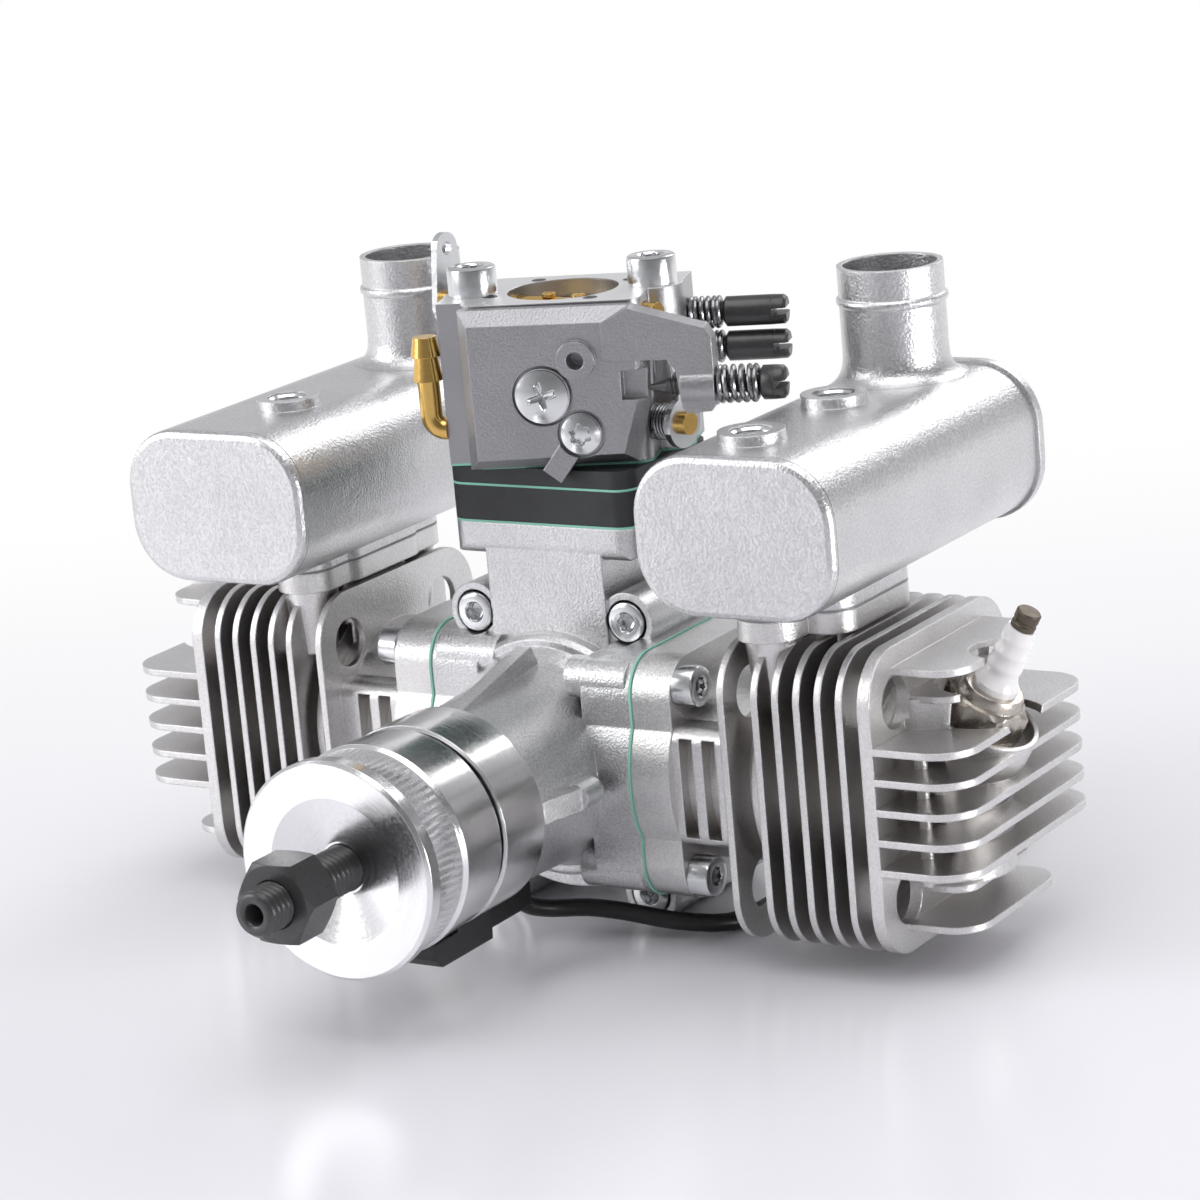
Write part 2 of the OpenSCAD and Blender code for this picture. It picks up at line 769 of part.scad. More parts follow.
// One muffler in the right side's own frame, with its stack and its threaded bosses
module muffler_can(boss_places, side) {
    cy = side * stagger / 2;
    difference() {
        union() {
            translate([muffler_x, 0, muffler_z]) plate_y(-muffler_front + cap_t, muffler_len - 2 * cap_t)
                muffler_space(0);
            translate([duct_x, -cy, muffler_foot_z]) linear_extrude(4.5) exhaust_outline();
            translate([stack_x, stack_y, muffler_z]) cylinder(r = stack_r, h = stack_top - muffler_z);
            translate([stack_x, stack_y, stack_top - 6]) stack_bead();
            for (y = boss_places) translate([stack_x, y, muffler_z]) cylinder(r = 5.6, h = muffler_half_z + 1.8);
        }
        translate([muffler_x, 0, muffler_z]) plate_y(-muffler_front - 1, muffler_len + 2)
            muffler_space(muffler_wall);
        translate([duct_x - 5, -cy - 7, 0]) cube([10, 14, muffler_z]);
        translate([stack_x, stack_y, muffler_z]) cylinder(r = stack_r - 1, h = 60);
        for (y = boss_places) translate([stack_x, y, muffler_z]) cylinder(r = 3.6, h = 40);
        for (sy = [-1, 1]) translate([duct_x - 3, sy * muffler_bolt_y - cy, muffler_foot_z - 1])
            cylinder(r = m4_r + fit, h = 9);
    }
}

module stack_bead() {
    rotate_extrude() translate([stack_r - 0.4, 0]) circle(r = 0.9, $fn = 24);
}

module muffler_right() {
    color("silver") at_crank() muffler_can([-20.8, 6.6], 1);
}

module muffler_left() {
    color("silver") at_crank() mirror([1, 0, 0]) muffler_can([-11.9], -1);
}

module muffler_end_caps() {
    color("silver") at_crank() for (s = [-1, 1]) translate([s * muffler_x, 0, muffler_z]) {
        front_cap(-muffler_front);
        rear_cap(-muffler_front + muffler_len - cap_t);
    }
}

module front_cap(y0) {
    hull() {
        plate_y(y0 + 1, cap_t - 1) muffler_space(0);
        plate_y(y0 + 0.35, 0.2) muffler_space(0.3);
        plate_y(y0, 0.2) muffler_space(1.1);
    }
}

module rear_cap(y0) {
    difference() {
        plate_y(y0, cap_t) muffler_space(-0.6);
        plate_y(y0 + cap_t - 0.6, 1) muffler_space(0.9);
    }
}

module exhaust_gaskets() {
    color("dimgray") at_crank() both_sides() difference() {
        translate([duct_x, 0, exhaust_top_z]) linear_extrude(gasket_t) exhaust_outline();
        translate([duct_x - 5, -7, 0]) cube([10, 14, 60]);
        for (sy = [-1, 1]) translate([duct_x - 3, sy * muffler_bolt_y, 0]) cylinder(r = m4_r + fit, h = 60);
    }
}

module muffler_bolts() {
    color("lightgray") at_crank() both_sides() for (sy = [-1, 1])
        translate([duct_x - 3, sy * muffler_bolt_y, exhaust_top_z - 8]) cylinder(r = m4_r, h = 9.5);
}

// Intake

module at_carb() {
    translate([0, carb_y, 0]) rotate([0, 0, carb_yaw]) children();
}

module at_carb_screws() {
    at_carb() rotate([0, 0, mount_screw_turn]) for (s = [-1, 1]) translate([s * carb_pitch / 2, 0, 0]) children();
}

module at_shaft(z) {
    translate([0, carb_y, z]) rotate([0, 0, shaft_yaw]) children();
}

module spacer_outline() {
    difference() {
        rounded(spacer_half_x, spacer_half_y, 3.5);
        square(2 * duct_half, center = true);
    }
}

module intake_gaskets() {
    color("mediumseagreen") at_crank() difference() {
        union() {
            for (z = [intake_top_z, upper_spacer_z - gasket_t]) translate([0, carb_y, z])
                linear_extrude(gasket_t) spacer_outline();
            translate([0, 0, carb_foot - gasket_t]) at_carb() linear_extrude(gasket_t) difference() {
                carb_outline();
                circle(r = throttle_bore_r);
            }
        }
        at_carb_screws() cylinder(r = m5_r + fit, h = 100);
    }
}

module lower_spacer() {
    color("dimgray") at_crank() difference() {
        translate([0, carb_y, lower_spacer_z]) linear_extrude(lower_spacer_t) spacer_outline();
        at_carb_screws() cylinder(r = m5_r + fit, h = 100);
    }
}

module upper_spacer() {
    color("dimgray") at_crank() difference() {
        translate([0, carb_y, upper_spacer_z]) linear_extrude(upper_spacer_t) difference() {
            rounded(spacer_half_x, spacer_half_y, 3.5);
            circle(r = throttle_bore_r);
        }
        at_carb_screws() cylinder(r = m5_r + fit, h = 100);
    }
}

module reed_cage() {
    color("gray") at_crank() translate([0, carb_y, 0]) difference() {
        intersection() {
            translate([-duct_half + fit, -duct_half + fit, 26])
                cube([2 * duct_half - 2 * fit, 2 * duct_half - 2 * fit, intake_top_z - 26]);
            rotate([90, 0, 0]) linear_extrude(40, center = true)
                polygon([[-9, intake_top_z], [9, intake_top_z], [1, 26], [-1, 26]]);
        }
        rotate([90, 0, 0]) linear_extrude(12, center = true)
            polygon([[-6, intake_top_z + 1], [6, intake_top_z + 1], [0.6, 29], [-0.6, 29]]);
    }
}

module reed_petals() {
    color("goldenrod") at_crank() translate([0, carb_y, 0]) for (s = [-1, 1])
        rotate([90, 0, 0]) linear_extrude(12, center = true)
            polygon([[s * 1.05, 26], [s * 1.4, 26], [s * 7.88, intake_top_z - 2.6], [s * 7.58, intake_top_z - 2.6]]);
}

// Carburettor

module carb_outline() {
    rounded(carb_half_x, carb_half_y, 2.5);
    rotate(mount_screw_turn) for (s = [-1, 1]) translate([s * carb_pitch / 2, 0]) circle(r = 5.2);
    translate([carb_half_x - 2, needle_y - 5]) square([lug_x - carb_half_x + 2, 9.5]);
    translate([-lug_x, -9]) square([lug_x, 8]);
}

module carb_body() {
    color("darkgray") at_crank() difference() {
        at_carb() translate([0, 0, carb_foot]) linear_extrude(carb_h) carb_outline();
        at_carb() translate([0, 0, carb_foot - 1]) cylinder(r = throttle_bore_r, h = carb_h + 2);
        at_carb() translate([0, 0, carb_foot + 16]) cylinder(r = choke_bore_r, h = carb_h);
        at_carb_screws() cylinder(r = m5_r + fit, h = 100);
        for (z = [throttle_z, choke_z]) at_shaft(z) rod_x(-40, 40, spindle_r + 0.05);
        at_carb() for (z = needle_z) translate([0, needle_y, z]) rod_x(lug_x - 10, lug_x + 1, 1.6);
    }
}

module cover_outline(inset) {
    polygon([[inset - 15.2, carb_foot + 0.2 + inset], [14.2 - inset, carb_foot + 0.6 + inset],
        [17 - inset, 62], [17.4 - inset, 69], [14.6 - inset / 2, carb_top - 0.4 - inset * 1.2],
        [inset - 15.2, carb_top - 0.2 - inset * 1.2]]);
}

// Arm of the front cover that carries the idle screw
module cover_arm() {
    difference() {
        union() {
            plate_y(-cover_front, arm_t) polygon([[10, 75.6], [14.6, carb_top - 0.4], [arm_x - 1.2, 74.2], [arm_x, 72.2],
                [arm_x, 61.4], [arm_x - 0.8, 60], [arm_x - 5, 59.8], [arm_x - 5.8, 60.8], [arm_x - 6.4, 67],
                [arm_x - 7.8, 69], [10, 69.2]]);
            translate([0, idle_y, idle_z]) rod_x(arm_x - 5.8, arm_x, arm_hub_r);
        }
        translate([0, idle_y, idle_z]) rod_x(idle_x - idle_len - 4, idle_x + 4, idle_r + 0.05);
    }
}

module carb_front_cover() {
    color("gray") at_crank() at_carb() {
        difference() {
            union() {
                hull() {
                    plate_y(-cover_front + cover_t - 1.8, 1.8) cover_outline(0);
                    plate_y(-cover_front + 0.4, 1) cover_outline(2);
                }
                translate([cover_boss_x, 0, cover_boss_z]) rod_y(-cover_front - 0.6, -cover_front + 1, 3.3);
                translate([tab_x, 0, tab_z]) rotate([0, tab_turn, 0]) translate([-1.9, -cover_front - 0.2, -9])
                    cube([3.8, 2, 9]);
            }
            translate([cross_x, 0, cross_z]) rod_y(-cover_front - 1, -cover_front + 1.4, cross_r + 0.5);
            translate([cross_x, 0, cross_z]) rod_y(-cover_front - 1, 0, 1.6);
            translate([tab_x, 0, tab_z]) rod_y(-cover_front - 1, -cover_front + 1.2, lobed_r + 0.6);
            translate([tab_x, 0, tab_z]) rod_y(-cover_front - 1, 0, 1.6);
            translate([cover_boss_x, 0, cover_boss_z]) rod_y(-cover_front - 1, -cover_front + 3, 1.5);
            translate([12.6, -cover_front - 1, 62.4]) cube([8, 3.6, 5]);
        }
        cover_arm();
    }
}

module carb_rear_cover() {
    color("gray") at_crank() at_carb() plate_y(carb_half_y + cover_gasket, 4)
        translate([0, carb_foot + carb_h / 2]) rounded(15, carb_h / 2 - 1, 3);
}

module cover_screws() {
    color("lightgray") at_crank() at_carb() {
        translate([cross_x, -cover_front + 1.4, cross_z]) face_front() pan_screw(cross_r, 2.6);
        translate([tab_x, -cover_front + 1.2, tab_z]) face_front() pan_screw(lobed_r, 2.2);
    }
}

module pan_screw(r, h) {
    difference() {
        union() {
            cylinder(r = r, h = h - 1);
            translate([0, 0, h - 1]) cylinder(r1 = r, r2 = r * 0.7, h = 1);
            translate([0, 0, -4]) cylinder(r = 1.5, h = 4 + eps);
        }
        translate([-r, -0.4, h - 0.9]) cube([2 * r, 0.8, 2]);
    }
}

module carb_mount_screws() {
    color("lightgray") at_crank() at_carb_screws() translate([0, 0, carb_top])
        cap_screw(m5_r, m5_head_r, m5_head_h, carb_top - intake_top_z + 4.6);
}

module fuel_elbow() {
    color("goldenrod") at_crank() at_carb() translate([-elbow_x, -8, carb_foot + 6]) {
        rod_x(elbow_bend, elbow_x - lug_x, 1.9);
        translate([elbow_bend, 0, elbow_bend]) rotate([90, 0, 0]) rotate([0, 0, 180])
            rotate_extrude(angle = 90) translate([elbow_bend, 0]) circle(r = 1.9);
        translate([0, 0, elbow_bend]) cylinder(r = 1.9, h = 9 - elbow_bend);
        translate([0, 0, 8.6]) cylinder(r1 = 2.6, r2 = 2, h = 4.2);
        translate([0, 0, 12.8]) cylinder(r1 = 2.6, r2 = 2, h = 3.4);
    }
}

module carb_springs() {
    color("gray") at_crank() at_carb() {
        for (z = needle_z) translate([0, needle_y, z]) spring_sleeve(lug_x, lug_x + needle_spring, 2.9, 2.2);
        translate([0, idle_y, idle_z]) spring_sleeve(arm_x, arm_x + idle_spring, 3.3, 2.6);
    }
}

module spring_sleeve(x0, x1, r_out, r_in) {
    difference() {
        rod_x(x0, x1, r_out);
        rod_x(x0 - 1, x1 + 1, r_in);
    }
}

module needle(length) {
    rod_x(-length, 0, 1.5);
    difference() {
        rod_x(0, 11, 2.6);
        translate([9, -0.5, -4]) cube([4, 1, 8]);
    }
}

module high_needle() {
    color("black") at_crank() at_carb() translate([lug_x + needle_spring + 0.1, needle_y, needle_z[1]])
        needle(needle_len);
}

module low_needle() {
    color("black") at_crank() at_carb() translate([lug_x + needle_spring + 0.1, needle_y, needle_z[0]])
        needle(needle_len);
}

module idle_screw() {
    color("black") at_crank() at_carb() translate([idle_x, idle_y, idle_z]) {
        rod_x(-idle_len, 0, idle_r);
        translate([-idle_len, 0, 0]) rotate([0, -90, 0]) cylinder(r1 = idle_r, r2 = 0.4, h = 3);
        difference() {
            rod_x(0, 4.4, 2.9);
            translate([2.8, -0.5, -4]) cube([4, 1, 8]);
        }
    }
}

module throttle_shaft() {
    color("goldenrod") at_crank() at_shaft(throttle_z) difference() {
        rod_x(-21, 25, spindle_r);
        translate([-throttle_bore_r + 0.5, -3, -0.4]) cube([2 * throttle_bore_r - 1, 6, 0.8]);
    }
}

module throttle_plate() {
    color("goldenrod") at_crank() at_shaft(throttle_z)
        cylinder(r = throttle_bore_r - 0.6, h = 0.7, center = true);
}

module throttle_lever() {
    color("lightgray") at_crank() at_shaft(throttle_z) difference() {
        plate_x(22.6, 1.2) polygon(concat([for (a = [105 : 15 : 360]) 4.3 * [cos(a), sin(a)]],
            [[4.9, 6.8], [4.3, 8.4], [2.6, 9.4], [0.4, 9.3], [-0.8, 8.2]]));
        rod_x(20, 30, spindle_r + 0.02);
    }
}

module choke_shaft() {
    color("goldenrod") at_crank() at_shaft(choke_z) difference() {
        rod_x(-27, 20, spindle_r);
        translate([-choke_bore_r + 0.5, -3, -0.4]) cube([2 * choke_bore_r - 1, 6, 0.8]);
    }
}

module choke_plate() {
    color("goldenrod") at_crank() at_shaft(choke_z)
        cylinder(r = choke_bore_r - 0.6, h = 0.7, center = true);
}

module choke_lever() {
    color("lightgray") at_crank() at_shaft(choke_z) difference() {
        plate_x(-26.4, 1.2) polygon(concat([for (a = [185 : 10 : 355]) 4 * [cos(a), sin(a)]],
            [for (a = [-5 : 10 : 185]) [0, choke_tab] + 2.8 * [cos(a), sin(a)]]));
        rod_x(-30, -20, spindle_r + 0.02);
        translate([0, 0, choke_tab]) rod_x(-30, -20, 1.2);
    }
}

// Crank, hub and prop fixings

module crankshaft_front() {
    color("gray") at_crank() {
        rod_y(-web_out, -web_in, web_r);
        rod_y(-shaft_front, -web_out + eps, shaft_r);
    }
}

module crank_center_web() {
    color("gray") at_crank() rod_y(-center_web_t / 2, center_web_t / 2, web_r);
}

module crankshaft_rear() {
    color("gray") at_crank() {
        rod_y(web_in, web_out, web_r);
        rod_y(web_out - eps, chamber_half + bearing_t, shaft_r);
    }
}

module prop_hub() {
    color("gainsboro") at_crank() difference() {
        rotate([90, 0, 0]) rotate_extrude() polygon([
            [0, hub_back], [hub_r - 1.4, hub_back], [hub_r - 0.5, hub_back + 1], [hub_r, cone_back - 0.8],
            [hub_r - 0.5, cone_back], [hub_r - 1.6, washer_back], [0, washer_back]]);
        rod_y(-shaft_front, -hub_back + 1, shaft_r);
        rod_y(-washer_back - 1, -shaft_front + 1, stud_r);
        translate([0, 0, -hub_r + 3.2]) rod_y(-hub_back - 4, -hub_back + 1, 2);
    }
}

module trigger_magnet() {
    color("dimgray") at_crank() translate([0, 0, -hub_r + 3.2]) rod_y(-hub_back - 4, -hub_back, 2);
}

module prop_washer() {
    color("white") at_crank() difference() {
        rotate([90, 0, 0]) rotate_extrude() polygon([
            [0, washer_back], [washer_r - 0.6, washer_back], [washer_r, washer_back + 0.5],
            [washer_r, washer_front - 0.6], [washer_r - 0.6, washer_front], [12.4, washer_front],
            [4.4, washer_front - 2.4], [0, washer_front - 2.4]]);
        rod_y(-washer_front - 1, -washer_back + 1, stud_r);
    }
}

module prop_stud() {
    color("black") at_crank() difference() {
        rod_y(-stud_end, -shaft_front, stud_r);
        rod_y(-stud_end - 1, -stud_end + 4, 1.7);
    }
}

module prop_nut() {
    color("black") at_crank() difference() {
        translate([0, -stud_end + 5.4 + nut_t, 0]) rotate([90, 0, 0])
            cylinder(r = nut_flats / 2 / cos(30), h = nut_t, $fn = 6);
        rod_y(-stud_end - 1, -washer_front, stud_r);
    }
}

// Pistons and rods at the top of the stroke, modelled for the right side

module piston() {
    difference() {
        rod_x(crown_top - piston_len, crown_top, piston_r);
        rod_x(crown_top - piston_len - 1, crown_top - 3.4, piston_r - piston_wall);
        translate([pin_top, 0, 0]) rod_y(-piston_r, piston_r, wrist_pin_r + 0.02);
        for (x = [2.4, 5.4]) difference() {
            rod_x(crown_top - x - ring_t, crown_top - x, piston_r + 1);
            rod_x(crown_top - x - ring_t - 1, crown_top - x + 1, piston_r - ring_depth);
        }
    }
    for (s = [-1, 1]) difference() {
        translate([pin_top, s * (rod_t / 2 + 0.6), 0]) rotate([-90 * s, 0, 0]) cylinder(r = wrist_pin_r + 2, h = 8);
        translate([pin_top, 0, 0]) rod_y(-20, 20, wrist_pin_r + 0.02);
    }
}

module piston_rings() {
    for (x = [2.4, 5.4]) difference() {
        rod_x(crown_top - x - ring_t, crown_top - x, bore / 2 - 0.02);
        rod_x(crown_top - x - ring_t - 1, crown_top - x + 1, piston_r - ring_depth);
    }
}

module wrist_pin() {
    difference() {
        translate([pin_top, 0, 0]) rod_y(-11, 11, wrist_pin_r);
        translate([pin_top, 0, 0]) rod_y(-12, 12, wrist_pin_r - 1.4);
    }
}

module rod() {
    difference() {
        union() {
            translate([pin_top, 0, 0]) rod_y(-rod_t / 2, rod_t / 2, small_end_r);
            translate([throw, 0, 0]) rod_y(-rod_t / 2, rod_t / 2, big_end_r);
            translate([0, rod_t / 2 - 0.8, 0]) rotate([90, 0, 0]) linear_extrude(rod_t - 1.6)
                polygon([[throw, -4.2], [pin_top, -3], [pin_top, 3], [throw, 4.2]]);
        }
        translate([pin_top, 0, 0]) rod_y(-rod_t, rod_t, wrist_pin_r + 0.04);
    }
    translate([throw, 0, 0]) rod_y(-rod_bay / 2 + gap, rod_bay / 2 - gap, crankpin_r);
}

module piston_right() {
    color("silver") at_crank() right_side() piston();
}

module piston_left() {
    color("silver") at_crank() left_side() piston();
}

module piston_rings_right() {
    color("dimgray") at_crank() right_side() piston_rings();
}

module piston_rings_left() {
    color("dimgray") at_crank() left_side() piston_rings();
}

module wrist_pin_right() {
    color("gray") at_crank() right_side() wrist_pin();
}

module wrist_pin_left() {
    color("gray") at_crank() left_side() wrist_pin();
}

module rod_right() {
    color("gray") at_crank() right_side() rod();
}

module rod_left() {
    color("gray") at_crank() left_side() rod();
}

crankcase_front();
crankcase_rear();
case_screws();
main_bearings();
shaft_seal();
sensor_ring();
sensor_block();
sensor_cable();
cable_coil();
cable_plug();
cylinder_right();
cylinder_left();
base_gaskets();
base_bolts();
muffler_right();
muffler_left();
muffler_end_caps();
exhaust_gaskets();
muffler_bolts();
plug_shells();
plug_insulators();
plug_terminals();
intake_gaskets();
lower_spacer();
upper_spacer();
reed_cage();
reed_petals();
carb_body();
carb_front_cover();
carb_rear_cover();
cover_screws();
carb_mount_screws();
fuel_elbow();
carb_springs();
crankshaft_front();
crank_center_web();
crankshaft_rear();
prop_hub();
prop_washer();
prop_stud();
prop_nut();
trigger_magnet();
piston_right();
piston_left();
piston_rings_right();
piston_rings_left();
wrist_pin_right();
wrist_pin_left();
rod_right();
rod_left();
throttle_shaft();
throttle_plate();
throttle_lever();
choke_shaft();
choke_plate();
choke_lever();
idle_screw();
high_needle();
low_needle();
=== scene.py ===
import bpy
import math
from mathutils import Euler, Matrix, Vector


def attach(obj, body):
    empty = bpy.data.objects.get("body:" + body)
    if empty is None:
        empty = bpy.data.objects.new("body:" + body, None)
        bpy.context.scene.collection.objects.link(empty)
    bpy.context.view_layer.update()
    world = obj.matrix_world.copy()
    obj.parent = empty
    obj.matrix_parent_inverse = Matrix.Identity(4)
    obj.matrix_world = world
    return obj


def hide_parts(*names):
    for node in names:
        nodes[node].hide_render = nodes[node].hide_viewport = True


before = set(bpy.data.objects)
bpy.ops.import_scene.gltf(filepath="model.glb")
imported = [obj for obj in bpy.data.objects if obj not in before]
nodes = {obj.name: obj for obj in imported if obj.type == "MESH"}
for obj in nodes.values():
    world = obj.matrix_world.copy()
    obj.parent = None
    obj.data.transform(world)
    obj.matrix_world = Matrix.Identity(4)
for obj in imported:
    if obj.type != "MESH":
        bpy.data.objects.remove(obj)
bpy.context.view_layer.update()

# Sizes and places are in mm, in the crank's frame, whose origin lies REAR in front of the mounting face.
MM = 0.001
REAR = 30.0
FLOOR = -29.7
STAGGER = 8.8
SIDES = (-1, 1)

# Carburettor: its centre, foot, top face and cover, and how far its parts are turned about the upright axis
CARB_Y = 3.2
CARB_FOOT = 50.7
CARB_TOP = 78.5
COVER_FRONT = -18.1
CARB_YAW = 20
SHAFT_YAW = -6
SCREW_YAW = 25


def at(x, y, z):
    return Vector((x * MM, (y - REAR) * MM, z * MM))


def turned(yaw, x, y, z):
    """A point of the carburettor's frame, turned by yaw about its upright axis."""
    c, s = math.cos(math.radians(yaw)), math.sin(math.radians(yaw))
    return at(x * c - y * s, CARB_Y + x * s + y * c, z)


def way(yaw, x, y, z):
    """A direction, turned by yaw about the upright axis."""
    c, s = math.cos(math.radians(yaw)), math.sin(math.radians(yaw))
    return Vector((x * c - y * s, x * s + y * c, z))


def carb(x, y, z):
    return turned(CARB_YAW, x, y, z)


def shaft(x, y, z):
    return turned(SHAFT_YAW, x, y, z)


FRONT = Vector((0, -1, 0))
UP = Vector((0, 0, 1))
CARB_SIDE = way(CARB_YAW, 1, 0, 0)
CARB_BACK = way(CARB_YAW, 0, 1, 0)
CARB_FRONT = way(CARB_YAW, 0, -1, 0)


# Camera, found from the photograph's ellipses and parallel edges: its place, and its turn about x, y and z

CAMERA_PLACE = (398.7, -602.6, 209.3)
CAMERA_TURN = (75.557, 5.041, 31.936)
SENSOR_WIDTH = 36
LENS = 129.2
NEAREST = 0.01

camera = bpy.data.objects.new("camera", bpy.data.cameras.new("camera"))
bpy.context.scene.collection.objects.link(camera)
camera.data.sensor_width = SENSOR_WIDTH
camera.data.lens = LENS
camera.data.clip_start = NEAREST
camera_turn = Euler([math.radians(angle) for angle in CAMERA_TURN])
camera.matrix_world = Matrix.Translation(at(*CAMERA_PLACE)) @ camera_turn.to_matrix().to_4x4()
bpy.context.scene.camera = camera
bpy.context.scene.view_settings.view_transform = "Standard"


# Mesh helpers: a form is a pair (verts, faces) in metres

def mesh_piece(name, verts, faces):
    me = bpy.data.meshes.new(name)
    me.from_pydata([tuple(v) for v in verts], [], faces)
    me.update()
    me.shade_smooth()
    ob = bpy.data.objects.new(name, me)
    bpy.context.scene.collection.objects.link(ob)
    return ob


def join(parts, name, crease=35):
    """One object from several forms, smooth but for edges sharper than crease degrees."""
    verts, faces = [], []
    for v, f in parts:
        base = len(verts)
        verts += v
        faces += [[base + i for i in face] for face in f]
    ob = mesh_piece(name, verts, faces)
    ob.data.set_sharp_from_angle(angle=math.radians(crease))
    return ob


def frame_of(axis, up=None):
    """Unit axis and two directions across it, the first one towards up."""
    axis = Vector(axis).normalized()
    u = Vector(up) if up else axis.orthogonal()
    u = (u - axis * u.dot(axis)).normalized()
    return axis, u, axis.cross(u)


def full_turn(count):
    return [2 * math.pi * k / count for k in range(count)]


def round_point(origin, axes, radius, along, angle):
    """Point at radius and angle round an axis, and along it."""
    axis, u, w = axes
    return origin + MM * (axis * along + radius * (math.cos(angle) * u + math.sin(angle) * w))


def circle(origin, axes, radius, along, count):
    return [round_point(origin, axes, radius, along, a) for a in full_turn(count)]


def rings(rows, close_start=True, close_end=True):
    """Skin over rows of points of equal length, each row a closed ring."""
    n = len(rows[0])
    verts = [p for row in rows for p in row]
    faces = []
    for i in range(len(rows) - 1):
        for k in range(n):
            j = (k + 1) % n
            faces.append([i * n + k, i * n + j, (i + 1) * n + j, (i + 1) * n + k])
    if close_start:
        faces.append([n - 1 - k for k in range(n)])
    if close_end:
        faces.append([(len(rows) - 1) * n + k for k in range(n)])
    return verts, faces


def sweep(points, radius, sides):
    """Round bar of one radius along points, all in metres."""
    last = len(points) - 1
    rows = []
    up = None
    for i, p in enumerate(points):
        t = (points[min(i + 1, last)] - points[max(i - 1, 0)]).normalized()
        if up is None:
            up = t.orthogonal().normalized()
        up = (up - t * up.dot(t)).normalized()
        side = t.cross(up)
        rows.append([p + radius * (math.cos(a) * up + math.sin(a) * side) for a in full_turn(sides)])
    return rings(rows)


def hexagon(flats, angle):
    """Distance from a hexagon's middle to its edge."""
    b = (angle + math.pi / 6) % (math.pi / 3) - math.pi / 6
    return flats / 2 / math.cos(b)


# In a lathe's profile this radius stands for a hexagon.
HEX = -1


def lathe(profile, origin, axis, segs, flats=0.0, up=None, closed=True):
    """Turned form: profile holds (radius, distance along axis); flats is the width of its hexagon."""
    axes = frame_of(axis, up)
    rows = []
    for radius, along in profile:
        rows.append([round_point(origin, axes, hexagon(flats, a) if radius == HEX else radius, along, a)
                     for a in full_turn(segs)])
    return rings(rows, closed, closed)


TURN_STEPS = 20


def helix(start, end, radius, wire, turns, flat_ends=0.75, legs=()):
    """Wire spring, all in metres, its end turns flat; legs are points added after the last turn."""
    axis, u, w = frame_of(end - start)
    length = (end - start).length
    low = wire + wire * flat_ends
    points = []
    for i in range(int(turns * TURN_STEPS) + 1):
        t = i / TURN_STEPS
        if t < flat_ends:
            along = wire + wire * t
        elif t > turns - flat_ends:
            along = length - wire - wire * (turns - t)
        else:
            along = low + (length - 2 * low) * (t - flat_ends) / (turns - 2 * flat_ends)
        a = 2 * math.pi * t
        points.append(start + axis * along + radius * (math.cos(a) * u + math.sin(a) * w))
    return sweep(points + list(legs), wire, 8)


def cap_screw(origin, axis, r, h, flats, shank, shank_r, up):
    """Socket head screw: its head's foot at origin, its shank behind, a flat of the socket square to up."""
    socket = h * 0.52
    tip = 0.7
    rim = flats / 2
    profile = [(0.0, -shank), (shank_r, -shank), (shank_r, 0), (r - 0.15, 0), (r, 0.15), (r, h - 0.5),
               (r - 0.12, h - 0.2), (r - 0.45, h), (rim + 0.42, h), (rim + 0.26, h - 0.12),
               (HEX, h - 0.35), (HEX, h - socket), (0.2, h - socket - tip)]
    return lathe(profile, origin, axis, 72, flats, up)


# Node trees

class Graph:
    """A node tree, with short calls for what its materials need."""

    def __init__(self, tree):
        tree.nodes.clear()
        self.tree = tree

    def new(self, kind, **settings):
        node = self.tree.nodes.new("ShaderNode" + kind)
        for key, value in settings.items():
            setattr(node, key, value)
        return node

    def put(self, node, key, value):
        """Feed a socket from another one, or set its number, direction or colour."""
        if isinstance(value, bpy.types.NodeSocket):
            self.tree.links.new(value, node.inputs[key])
        else:
            node.inputs[key].default_value = value

    def split(self, vector):
        node = self.new("SeparateXYZ")
        self.put(node, "Vector", vector)
        return node.outputs["X"], node.outputs["Y"], node.outputs["Z"]

    def noise(self, vector, scale, detail=2.0):
        node = self.new("TexNoise")
        self.put(node, "Scale", scale)
        self.put(node, "Detail", detail)
        self.put(node, "Vector", vector)
        return node.outputs["Fac"]

    def ramp(self, value, low, high, a, b, kind="LINEAR"):
        """a where value is low or less, b where it is high or more."""
        node = self.new("MapRange", interpolation_type=kind)
        for key, setting in (("From Min", low), ("From Max", high), ("To Min", a), ("To Max", b)):
            self.put(node, key, setting)
        self.put(node, "Value", value)
        return node.outputs["Result"]

    def mixed(self, factor, a, b):
        node = self.new("Mix", data_type="RGBA")
        self.put(node, "Factor", factor)
        for key, value in (("A", a), ("B", b)):
            self.put(node, key, (*value, 1) if isinstance(value, (tuple, list)) else value)
        return node.outputs["Result"]

    def maths(self, kind, a, b, clamp=True):
        node = self.new("Math", operation=kind, use_clamp=clamp)
        self.put(node, 0, a)
        self.put(node, 1, b)
        return node.outputs["Value"]

    def dot(self, vector, direction):
        node = self.new("VectorMath", operation="DOT_PRODUCT")
        self.put(node, 0, vector)
        self.put(node, 1, direction)
        return node.outputs["Value"]

    def bump(self, height, strength, depth, under):
        node = self.new("Bump")
        self.put(node, "Strength", strength)
        self.put(node, "Distance", depth * MM)
        self.put(node, "Height", height)
        if under:
            self.put(node, "Normal", under)
        return node.outputs["Normal"]


# Materials

# Fineness of the cloudy tint and of the slow dents, and the depths of grain and dents
CLOUD_SCALE, WAVE_SCALE = 70.0, 300.0
GRAIN_DEPTH, WAVE_DEPTH = 0.1, 0.5
# Noise values between which the clouds, the gloss and the dark grains change, and the shade of a dark grain
CLOUD_SPAN = (0.3, 0.6)
GLOSS_SPAN = (0.3, 0.7)
SPECKLE_SPAN = (0.38, 0.62)
SPECKLE_SHADE = 0.3
